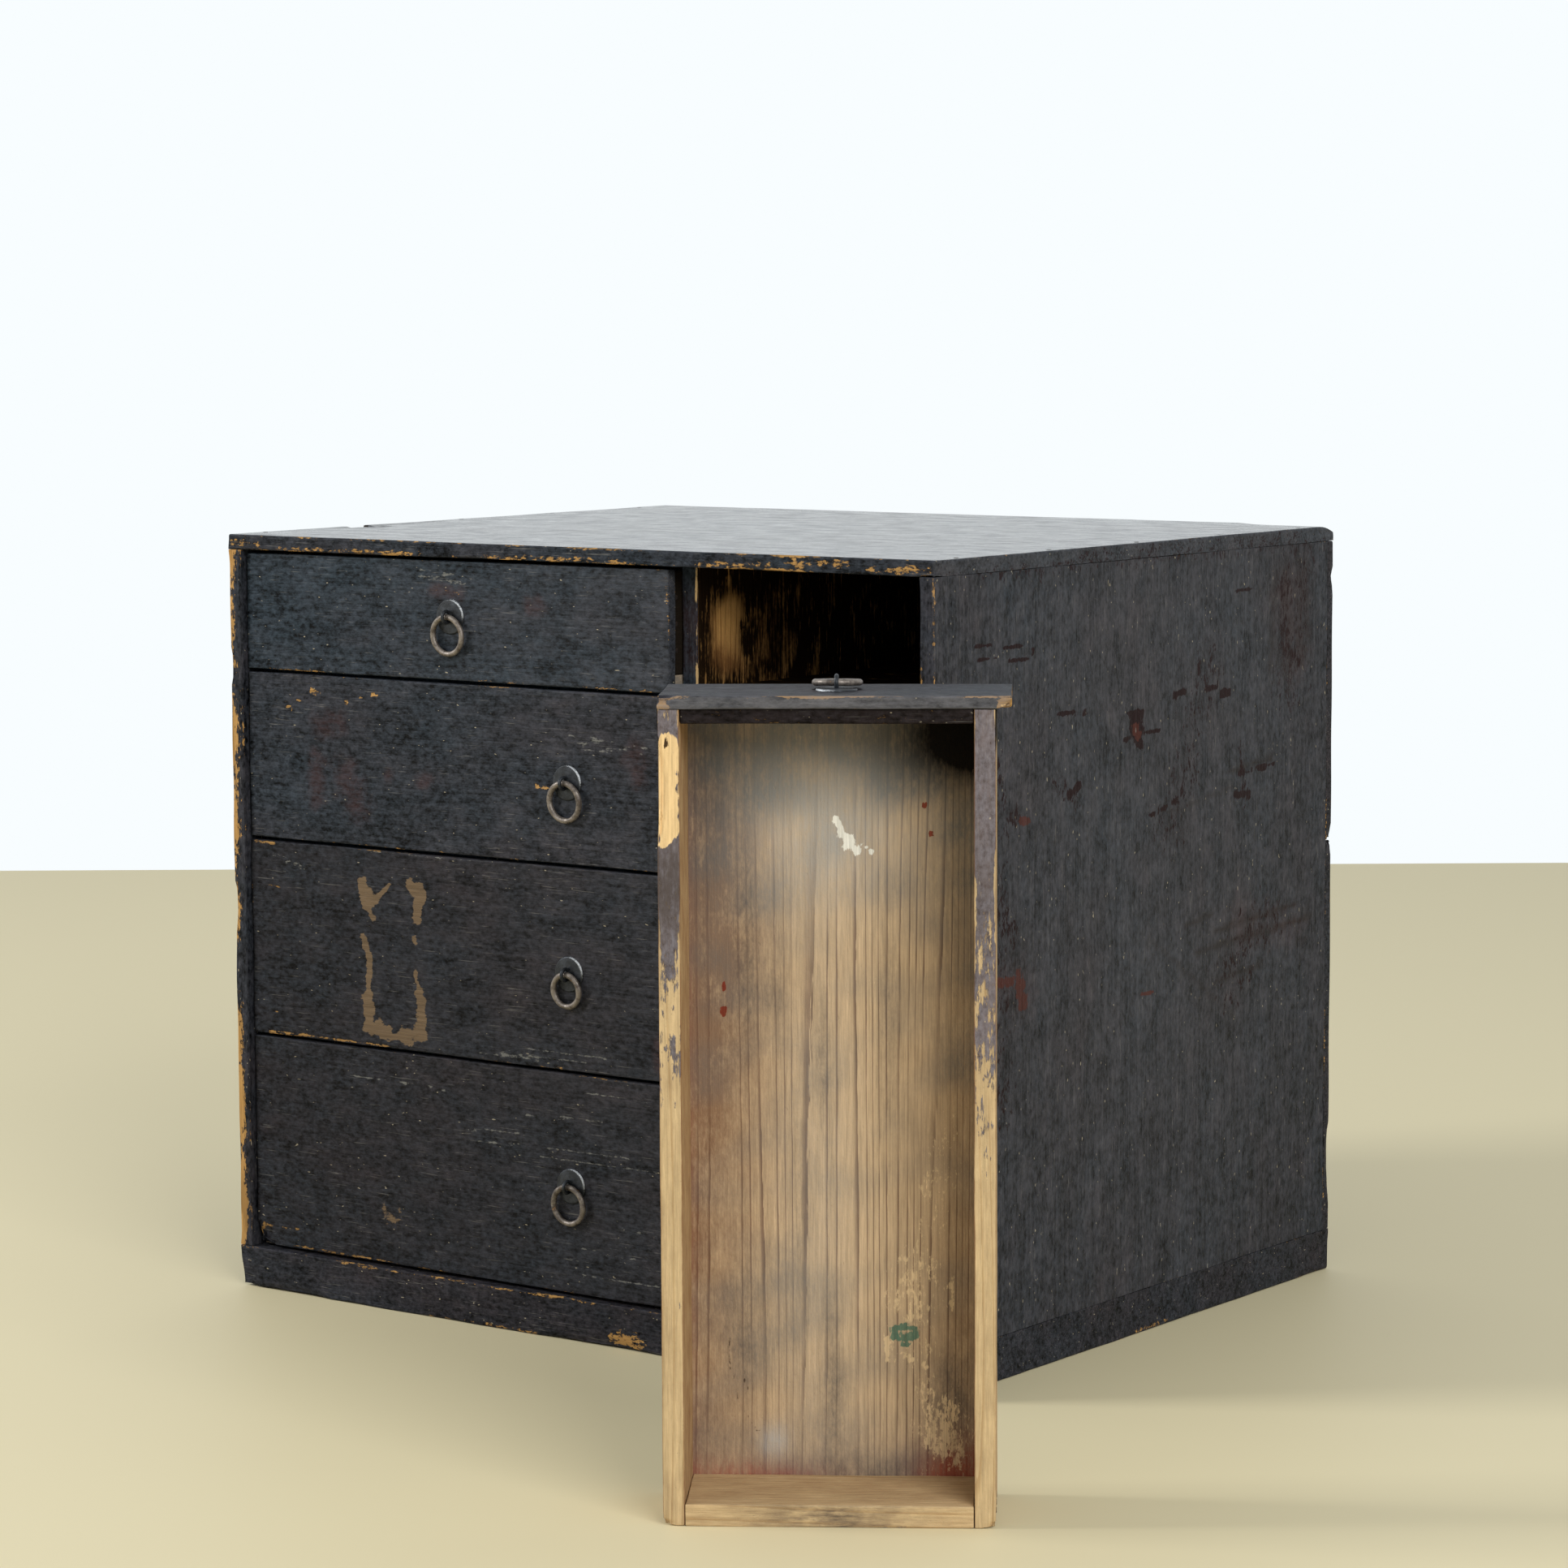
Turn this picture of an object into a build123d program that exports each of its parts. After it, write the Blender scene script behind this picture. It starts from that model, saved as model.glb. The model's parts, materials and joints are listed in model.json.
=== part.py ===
from build123d import *
import os
from math import asin, cos, degrees, radians, sin

# A small black chest of drawers in millimetres: X to the right, Y to the back, Z up.
# The origin is on the floor under the middle of the case. The small drawer is out of its bay.

# Case boards
case_width = 450.0
case_depth = 370.0
top_thickness = 8.0
side_thickness = 8.5
base_thickness = 22.0
back_thickness = 6.0
back_joint_height = 233.0
shelf_thickness = 6.0
divider_thickness = 9.0
groove_depth = 3.0

# Clear heights of the four rows, and the clear width of the small bay at the right of the top row
bottom_row_height = 111.2
third_row_height = 98.2
second_row_height = 82.5
top_row_height = 60.1
small_bay_width = 144.0

# Drawer boards: the front is an outer face with a narrower, rabbeted part behind it
front_face_thickness = 5.7
front_rabbet_depth = 6.4
front_step = 1.2
box_side_thickness = 9.5
box_back_thickness = 9.7
box_bottom_thickness = 6.0
box_corner_radius = 4.0

# Room around the drawers
front_recess = 3.5
front_gap = 1.6
front_end_gap = 0.8
divider_cover = 1.5
shelf_setback = 0.6
side_clearance = 0.7
run_clearance = 0.4
head_clearance = 2.5
rear_clearance = 4.0

# Wooden pegs
peg_diameter = 2.4
peg_clearance = 0.05
peg_bite = 12.0
peg_margin = 12.0
case_edge_peg_count = 5
back_board_peg_count = 3
box_corner_peg_count = 3
box_bottom_peg_count = 4

# Ring pulls: a domed rosette, a split pin with an eye, and the ring in the eye, which leans on the front.
# Each row's pull sits a little above or below the middle of its front. The third row has a smaller ring.
rosette_diameter = 18.0
rosette_rim = 0.8
rosette_dome = 1.2
ring_diameter = 22.0
third_ring_diameter = 19.4
ring_wire = 3.1
ring_play = 0.45
ring_touch_clearance = 0.3
eye_wire = 1.8
eye_reach = 3.2
bottom_pull_rise = -1.1
third_pull_rise = -2.3
second_pull_rise = -2.5
top_pull_rise = 2.0
pin_diameter = 1.9
pin_clearance = 0.1
pin_leg_length = 7.0
pin_leg_thickness = 1.0

# Where the small drawer stands on its back end: beside the way of the wide drawers, open side to the front
park_clearance = 5.5
park_distance = 198.0
park_yaw = 33.7

# Places that follow from the sizes above
inner_half_width = case_width / 2 - side_thickness
case_front = -case_depth / 2
back_face = case_depth / 2 - back_thickness
front_face = case_front + front_recess
rabbet_face = front_face + front_face_thickness
front_inside = rabbet_face + front_rabbet_depth
shelf_front = front_inside + shelf_setback
box_rear = back_face - rear_clearance
divider_right = inner_half_width - small_bay_width
divider_left = divider_right - divider_thickness
front_split = divider_left + divider_cover

row_heights = (bottom_row_height, third_row_height, second_row_height, top_row_height)
row_floors = [base_thickness]
for row_height in row_heights[:-1]:
    row_floors.append(row_floors[-1] + row_height + shelf_thickness)
ceiling = row_floors[-1] + top_row_height
case_height = ceiling + top_thickness

ring_radii = [(ring_diameter - ring_wire) / 2] * len(row_heights)
ring_radii[1] = (third_ring_diameter - ring_wire) / 2
pull_rises = (bottom_pull_rise, third_pull_rise, second_pull_rise, top_pull_rise)
eye_radius = ring_wire / 2 + ring_play + eye_wire / 2


def board(low, high):
    """A plain board between two opposite corners."""
    low = Vector(*low)
    high = Vector(*high)
    return Pos(*(low + high) / 2) * Box(*(high - low))


def spread(low, high, margin, count):
    """Evenly spaced places between two ends, with a margin at each end."""
    first = low + margin
    step = (high - low - 2 * margin) / (count - 1)
    return [first + step * i for i in range(count)]


def peg(start, direction, length, play=0.0):
    """A round peg driven in from a face. With play it is the hole for the peg."""
    return Solid.make_cylinder(peg_diameter / 2 + play, length + play, Plane(start, z_dir=direction))


def pegged(boards, pegs):
    """Drills the boards for their pegs, and returns the boards and the pegs as one group."""
    holes = [peg(*place, play=peg_clearance) for place in pegs]
    drilled = {name: solid - holes for name, solid in boards.items()}
    return drilled, Compound([peg(*place) for place in pegs])


def case():
    """Top, sides, base, back boards, shelves and divider, grooved into each other and pegged."""
    half = case_width / 2
    boards = {
        "top_panel": board((-half, case_front, ceiling), (half, -case_front, case_height)),
        "left_side": board((-half, case_front, base_thickness), (-inner_half_width, back_face, ceiling)),
        "right_side": board((inner_half_width, case_front, base_thickness), (half, back_face, ceiling)),
        "base_board": board((-half, case_front, 0), (half, -case_front, base_thickness)),
        "lower_back_board": board((-half, back_face, base_thickness), (half, -case_front, back_joint_height)),
        "upper_back_board": board((-half, back_face, back_joint_height), (half, -case_front, ceiling)),
    }

    shelf_reach = inner_half_width + groove_depth
    shelf_names = ("lower_shelf", "middle_shelf", "upper_shelf")
    for shelf_name, floor in zip(shelf_names, row_floors[1:]):
        shelf = board((-shelf_reach, shelf_front, floor - shelf_thickness), (shelf_reach, back_face, floor))
        boards["left_side"] -= shelf
        boards["right_side"] -= shelf
        boards[shelf_name] = shelf

    divider_foot = row_floors[-1] - groove_depth
    divider_head = ceiling + groove_depth
    divider = board((divider_left, shelf_front, divider_foot), (divider_right, back_face, divider_head))
    boards["top_panel"] -= divider
    boards["upper_shelf"] -= divider
    boards["divider"] = divider

    pegs = []
    side_middle = half - side_thickness / 2
    for x in (-side_middle, side_middle):
        for y in spread(case_front, back_face, 2 * peg_margin, case_edge_peg_count):
            pegs.append(((x, y, case_height), (0, 0, -1), top_thickness + peg_bite))
            pegs.append(((x, y, 0), (0, 0, 1), base_thickness + peg_bite))
        for low, high in ((base_thickness, back_joint_height), (back_joint_height, ceiling)):
            for z in spread(low, high, 2 * peg_margin, back_board_peg_count):
                pegs.append(((x, -case_front, z), (0, -1, 0), back_thickness + peg_bite))
    pieces, pieces["case_pegs"] = pegged(boards, pegs)
    return pieces


def drawer_box(left, right, row, front_left, front_right):
    """One drawer in its bay: front, sides, back and bottom, rabbeted and pegged."""
    low = row_floors[row] + run_clearance
    high = row_floors[row] + row_heights[row] - head_clearance
    floor = low + box_bottom_thickness
    inner_left = left + box_side_thickness
    inner_right = right - box_side_thickness
    front_low, front_high = front_span(row)

    face = board((front_left, front_face, front_low), (front_right, rabbet_face, front_high))
    tongue = board((inner_left, rabbet_face, floor), (inner_right, front_inside, high - front_step))
    left_side = board((left, rabbet_face, floor), (inner_left, box_rear, high))
    right_side = board((inner_right, rabbet_face, floor), (right, box_rear, high))
    bottom = board((left, rabbet_face, low), (right, box_rear, floor))
    rear_edges = bottom.edges().filter_by(Axis.Z).group_by(Axis.Y)[-1]
    boards = {
        "front": face + tongue,
        "left_side": fillet(outer_rear_edge(left_side, 0), box_corner_radius),
        "right_side": fillet(outer_rear_edge(right_side, -1), box_corner_radius),
        "back": board((inner_left, box_rear - box_back_thickness, floor), (inner_right, box_rear, high)),
        "bottom": fillet(rear_edges, box_corner_radius),
    }

    pegs = []
    for x, inward in ((left, 1), (right, -1)):
        for y in (rabbet_face + front_rabbet_depth / 2, box_rear - box_back_thickness / 2):
            for z in spread(floor, high - front_step, peg_margin, box_corner_peg_count):
                pegs.append(((x, y, z), (inward, 0, 0), box_side_thickness + peg_bite))
        side_middle = x + inward * box_side_thickness / 2
        for y in spread(front_inside, box_rear - box_back_thickness, 2 * peg_margin, box_bottom_peg_count):
            pegs.append(((side_middle, y, low), (0, 0, 1), box_bottom_thickness + peg_bite))
    pieces, pieces["pegs"] = pegged(boards, pegs)
    return pieces


def outer_rear_edge(side, place):
    """The upright rear edge of a drawer side: place 0 is its left one and -1 its right one."""
    return side.edges().filter_by(Axis.Z).group_by(Axis.Y)[-1].sort_by(Axis.X)[place]


def front_span(row):
    """Lower and upper edge of a front, which covers half of the shelves below and above it."""
    low = row_floors[row] + front_gap
    high = row_floors[row] + row_heights[row] - front_gap
    if row > 0:
        low = row_floors[row] - shelf_thickness / 2 + front_gap / 2
    if row < len(row_heights) - 1:
        high = row_floors[row] + row_heights[row] + shelf_thickness / 2 - front_gap / 2
    return low, high


def eye_place(row, front_left, front_right):
    """Middle of the eye: centred on the front's width, near the middle of its height."""
    low, high = front_span(row)
    return (front_left + front_right) / 2, front_face - eye_reach, (low + high) / 2 + pull_rises[row]


def ring_lean(row):
    """Angle at which a ring hangs from its eye with its lowest point against the front."""
    return degrees(asin((eye_reach - ring_wire / 2 - ring_touch_clearance) / (2 * ring_radii[row])))


def ring_pull(row, front_left, front_right):
    """Rosette, split-pin eye and ring of one front, and the hollow that the eye takes up in front and rosette."""
    x, y, z = eye_place(row, front_left, front_right)
    radius = ring_radii[row]
    hole = pin_diameter / 2 + pin_clearance
    rim = rosette_diameter / 2
    crown = (rosette_rim + rosette_dome) / 2 + (rosette_dome - rosette_rim) / 4
    outline = Polyline((hole, rosette_dome), (hole, 0), (rim, 0), (rim, rosette_rim))
    outline += ThreePointArc((rim, rosette_rim), ((hole + rim) / 2, crown), (hole, rosette_dome))
    disc = revolve(Plane.XZ * make_face(outline), Axis.Z)

    pin_length = front_inside + pin_leg_thickness - (y + eye_radius)
    pin = Solid.make_cylinder(pin_diameter / 2, pin_length, Plane((x, y + eye_radius, z), z_dir=(0, 1, 0)))
    leg = pin_diameter / 2
    legs = board(
        (x - leg, front_inside, z - pin_leg_length),
        (x + leg, front_inside + pin_leg_thickness, z + pin_leg_length),
    )
    loop_place = Pos(x, y, z) * Rot(0, 90, 0)
    hollow = loop_place * Torus(eye_radius, eye_wire / 2 + pin_clearance)
    hanging = Pos(0, 0, -radius) * Rot(90, 0, 0) * Torus(radius, ring_wire / 2)
    pieces = {
        "rosette": Plane((x, front_face, z), z_dir=(0, -1, 0)).location * disc - hollow,
        "eye": loop_place * Torus(eye_radius, eye_wire / 2) + pin + legs,
        "ring": Pos(x, y, z) * Rot(ring_lean(row), 0, 0) * hanging,
    }
    return pieces, hollow


def drawer(left, right, row, front_left, front_right):
    """A whole drawer in its bay, with the pin's hole through its front."""
    pieces = drawer_box(left, right, row, front_left, front_right)
    x, y, z = eye_place(row, front_left, front_right)
    hole_length = front_inside - y
    hole_place = Plane((x, y, z), z_dir=(0, 1, 0))
    pull, hollow = ring_pull(row, front_left, front_right)
    pieces["front"] -= Solid.make_cylinder(pin_diameter / 2 + pin_clearance, hole_length, hole_place)
    pieces["front"] -= hollow
    pieces.update(pull)
    return pieces


def parked(pieces, right, row):
    """Stands a drawer on its back end beside the way of the others, its open side turned to the front."""
    yaw = radians(park_yaw)
    corner = (inner_half_width + park_clearance, case_front - park_distance, 0)
    stand = Plane(corner, x_dir=(-cos(yaw), -sin(yaw), 0), z_dir=(sin(yaw), -cos(yaw), 0)).location
    foot = Pos(-right, -box_rear, -row_floors[row] - run_clearance)
    return {name: stand * foot * solid for name, solid in pieces.items()}


box_limit = inner_half_width - side_clearance
front_limit = inner_half_width - front_end_gap
top_row = len(row_heights) - 1

parts = case()
wide_names = ("bottom_drawer", "third_drawer", "second_drawer")
drawers = {
    name: drawer(-box_limit, box_limit, row, -front_limit, front_limit) for row, name in enumerate(wide_names)
}
upper_right = divider_left - side_clearance
drawers["upper_drawer"] = drawer(-box_limit, upper_right, top_row, -front_limit, front_split)
small_left = divider_right + side_clearance
small = drawer(small_left, box_limit, top_row, front_split + front_gap, front_limit)
drawers["small_drawer"] = parked(small, box_limit, top_row)
for drawer_name, pieces in drawers.items():
    for piece_name, solid in pieces.items():
        parts[drawer_name + "_" + piece_name] = solid

os.makedirs("parts", exist_ok=True)
for part_name, solid in parts.items():
    export_step(solid, "parts/" + part_name + ".step")
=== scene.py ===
import json
from math import radians

import bpy
import numpy as np
from mathutils import Matrix, Vector


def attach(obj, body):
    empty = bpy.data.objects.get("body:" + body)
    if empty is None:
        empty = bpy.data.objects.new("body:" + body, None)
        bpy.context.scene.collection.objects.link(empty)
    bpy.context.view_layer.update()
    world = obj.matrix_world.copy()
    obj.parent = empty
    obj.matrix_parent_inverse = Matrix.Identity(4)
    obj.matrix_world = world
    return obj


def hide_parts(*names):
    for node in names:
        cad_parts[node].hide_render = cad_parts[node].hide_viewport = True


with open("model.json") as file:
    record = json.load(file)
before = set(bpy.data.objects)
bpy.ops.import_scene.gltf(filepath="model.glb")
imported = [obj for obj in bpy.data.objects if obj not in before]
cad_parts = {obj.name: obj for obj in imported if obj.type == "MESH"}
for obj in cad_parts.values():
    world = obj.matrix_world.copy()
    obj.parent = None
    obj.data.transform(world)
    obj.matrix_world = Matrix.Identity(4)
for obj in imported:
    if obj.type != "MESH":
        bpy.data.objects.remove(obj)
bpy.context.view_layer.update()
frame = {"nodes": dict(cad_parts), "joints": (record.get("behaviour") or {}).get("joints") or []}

# Base board
# A thick softwood plank under the whole case, painted black with the rest of it. Feet and brooms have worn
# its front into fine ridges, and the lowest drawer has rubbed its upper arris bare.
MM = 0.001
LEFT, RIGHT, FRONT, REAR, BELOW, ABOVE = (0, 0), (0, 1), (1, 0), (1, 1), (2, 0), (2, 1)


def ripple(points, size, seed):
    """Waves without a direction: the sum of eight cosines in random directions, each with a wavelength
    near size, divided so that it stays about between -1 and 1."""
    rng = np.random.default_rng(seed)
    direction = rng.normal(size=(8, 3))
    direction /= np.linalg.norm(direction, axis=1, keepdims=True)
    wave_number = 2 * np.pi / (size * rng.uniform(0.6, 1.6, (8, 1)))
    phase = rng.uniform(0, 2 * np.pi, 8)
    return np.cos(points @ (direction * wave_number).T + phase).sum(1) / 3.5


def stations(low, high, step, reach):
    """Places along one edge of a board: crowded within reach of both ends, where the arris is rounded,
    and about step apart between."""
    reach = min(reach, 0.45 * (high - low))
    crowd = reach * np.array([0, 0.07, 0.16, 0.28, 0.43, 0.6, 0.8])
    count = max(1, round((high - low - 2 * reach) / step))
    middle = np.linspace(low + reach, high - reach, count + 1)
    return np.concatenate([low + crowd, middle, high - crowd[::-1]])


def board_skin(low, high, step, reach=3.5 * MM):
    """The skin of a box as one closed net: the outer points of a lattice, numbered once each, and the
    squares between neighbours on its six faces, turned outwards."""
    axes = [stations(low[i], high[i], step, reach) for i in range(3)]
    outer = np.zeros([len(a) for a in axes], bool)
    outer[[0, -1]] = True
    outer[:, [0, -1]] = True
    outer[:, :, [0, -1]] = True
    number = np.full(outer.shape, -1)
    number[outer] = np.arange(outer.sum())
    points = np.stack(np.meshgrid(*axes, indexing="ij"), -1)[outer]
    squares = []
    for axis in range(3):
        for end in (0, -1):
            side = np.take(number, end, axis)
            corners = [side[:-1, :-1], side[1:, :-1], side[1:, 1:], side[:-1, 1:]]
            outward = (end == -1) != (axis == 1)
            squares.append(np.stack(corners if outward else corners[::-1], -1).reshape(-1, 4))
    return points, np.concatenate(squares)


def off_arris(points, low, high, first, second):
    """The square of each point's distance from the arris between two faces, a face being (axis, end)."""
    ends = (low, high)
    away = (points[:, first[0]] - ends[first[1]][first[0]]) ** 2
    return away + (points[:, second[0]] - ends[second[1]][second[0]]) ** 2


def worn(points, low, high, radius, seed, bites=(), dents=(), joints=()):
    """Rounds and wears a board's skin. A point moves onto the ball that rolls inside the box, whose radius
    changes along the board and shrinks along an arris that is a joint, then sinks by a slow wave. Each bite
    (place, size, depth) takes out a soft hollow. Each dent (face, depth, falls) lowers a face by its depth
    times the falls along two axes, a fall (axis, place, half, flat, soft) being (1 - |t|^flat)^soft."""
    rolling = radius * (0.75 + 0.35 * ripple(points, 35 * MM, seed))
    for first, second in joints:
        rolling = rolling * (1 - 0.88 * np.exp(-off_arris(points, low, high, first, second) / (4 * MM) ** 2))
    rolling = np.clip(rolling, 0.12 * radius, 0.45 * (high - low).min())[:, None]
    core = np.clip(points, low + rolling, high - rolling)
    outward = points - core
    outward /= np.linalg.norm(outward, axis=1, keepdims=True)
    sunk = 0.1 * MM * np.clip(1 + ripple(points, 60 * MM, seed + 1), 0, 2)
    for place, size, depth in bites:
        away = np.linalg.norm((points - place) / size, axis=1) + 0.12 * ripple(points, 6 * MM, seed + 2)
        sunk = sunk + depth * np.clip(1.2 * (1 - away**2), 0, 1)
    points = core + outward * (rolling - sunk[:, None])
    for (axis, end), depth, falls in dents:
        for along, place, half, flat, soft in falls:
            depth = depth * np.clip(1 - np.abs((points[:, along] - place) / half) ** flat, 0, 1) ** soft
        if end == 0:
            points[:, axis] = np.maximum(points[:, axis], low[axis] + depth)
        else:
            points[:, axis] = np.minimum(points[:, axis], high[axis] - depth)
    return points


def arris_wear(points, low, high, arrises, seed):
    """How far the paint is rubbed off, about from 0 to 1: its strength on an arris, falling off from it as
    exp(-(distance / reach)^2) and uneven along it. Each arris is (face, face, reach, strength)."""
    wear = np.zeros(len(points))
    for first, second, reach, strength in arrises:
        away = off_arris(points, low, high, first, second)
        wear = np.maximum(wear, strength * np.exp(-away / reach**2))
    return wear * np.clip(0.75 + 0.6 * ripple(points, 45 * MM, seed), 0.05, 1.35)


def all_arrises(reach, strength):
    """The twelve arrises of a board, all worn alike."""
    pairs = ((0, 1), (0, 2), (1, 2))
    return [((a, i), (b, j), reach, strength) for a, b in pairs for i in (0, 1) for j in (0, 1)]


def strokes_on(points, low, high, face, strokes, seed):
    """The field of a mark on one face, from 1 in its middle to 0 outside: the distance to the nearest of its
    strokes, made ragged by ripples. A stroke is (start, start, finish, finish, half width), in mm along the
    face's two directions."""
    axis, end = face
    plane = [i for i in range(3) if i != axis]
    flat = points[:, plane] / MM
    near = np.abs(points[:, axis] - (low, high)[end][axis]) < 1.5 * MM
    ragged = 1.3 + 0.3 * ripple(points, 6 * MM, seed)
    field = np.zeros(len(points))
    for x, y, to_x, to_y, half_width in strokes:
        start = np.array((x, y), float)
        run = np.array((to_x, to_y), float) - start
        share = np.clip((flat - start) @ run / max(run @ run, 1e-9), 0, 1)
        away = np.linalg.norm(flat - start - share[:, None] * run, axis=1)
        field = np.maximum(field, np.clip(ragged - away / half_width, 0, 1))
    return field * near


def lay_marks(fields, points, low, high, marks, seed):
    """Adds marks (field, face, strength, strokes) to a board's fields."""
    for i, (field, face, strength, strokes) in enumerate(marks):
        spread = strength * strokes_on(points, low, high, face, strokes, seed + i)
        fields[field] = np.maximum(fields.get(field, 0), spread)


def timber(points, along, across, spacing, seed):
    """Coordinates that follow the timber: a vector with the length of the grain first, and the number of
    the year ring at each point, whose spacing drifts slowly over the board."""
    through = 3 - along - across
    start = np.random.default_rng(seed).uniform(-3, 3, 3)
    grain = points[:, [along, across, through]] + start
    slow = np.where(np.arange(3) == along, 0.12, 1.0)
    drift = ripple(points * slow, 60 * MM, seed + 5)
    rings = (points[:, across] + 0.3 * points[:, through]) / spacing + 2.2 * drift
    return {"grain": grain, "rings": rings}


def piece(name, points, faces, material, body, slot, nodes=(), **fields):
    """Puts a finished net into the scene. Its fields become attributes of its points."""
    mesh = bpy.data.meshes.new(name)
    mesh.from_pydata(points.tolist(), [], faces.tolist())
    for field, values in fields.items():
        kind, key = ("FLOAT_VECTOR", "vector") if values.ndim == 2 else ("FLOAT", "value")
        layer = mesh.attributes.new(field, kind, "POINT")
        layer.data.foreach_set(key, values.astype(np.float32).ravel())
    mesh.polygons.foreach_set("use_smooth", np.ones(len(mesh.polygons), bool))
    mesh.materials.append(material)
    made = bpy.data.objects.new(name, mesh)
    bpy.context.scene.collection.objects.link(made)
    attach(made, body)
    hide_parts(*nodes)
    return made


def vertices_of(node):
    """All the vertices of a CAD node."""
    mesh = frame["nodes"][node].data
    places = np.empty(len(mesh.vertices) * 3, np.float32)
    mesh.vertices.foreach_get("co", places)
    return places.reshape(-1, 3).astype(float)


def box_of(node, axes=np.eye(3)):
    """Lowest and highest corner of a CAD node along three directions."""
    places = vertices_of(node) @ axes.T
    return places.min(0), places.max(0)


def linear(colour):
    """An sRGB hex colour as linear red, green, blue and alpha."""
    share = np.array([int(colour[i:i + 2], 16) for i in (1, 3, 5)]) / 255
    light = np.where(share <= 0.04045, share / 12.92, ((share + 0.055) / 1.055) ** 2.4)
    return (*light.tolist(), 1.0)


def add(tree, kind, inputs, out=0, **settings):
    """Adds one node with its settings, gives its inputs values or links, and returns one output."""
    node = tree.nodes.new("ShaderNode" + kind)
    for setting, value in settings.items():
        setattr(node, setting, value)
    for key, value in inputs.items():
        if isinstance(value, bpy.types.NodeSocket):
            tree.links.new(value, node.inputs[key])
        else:
            node.inputs[key].default_value = value
    return node.outputs[out] if len(node.outputs) else node


def blank_material(name):
    """A new material with an empty node tree, and that tree."""
    material = bpy.data.materials.new(name)
    material.use_nodes = True
    material.node_tree.nodes.clear()
    return material, material.node_tree


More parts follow.
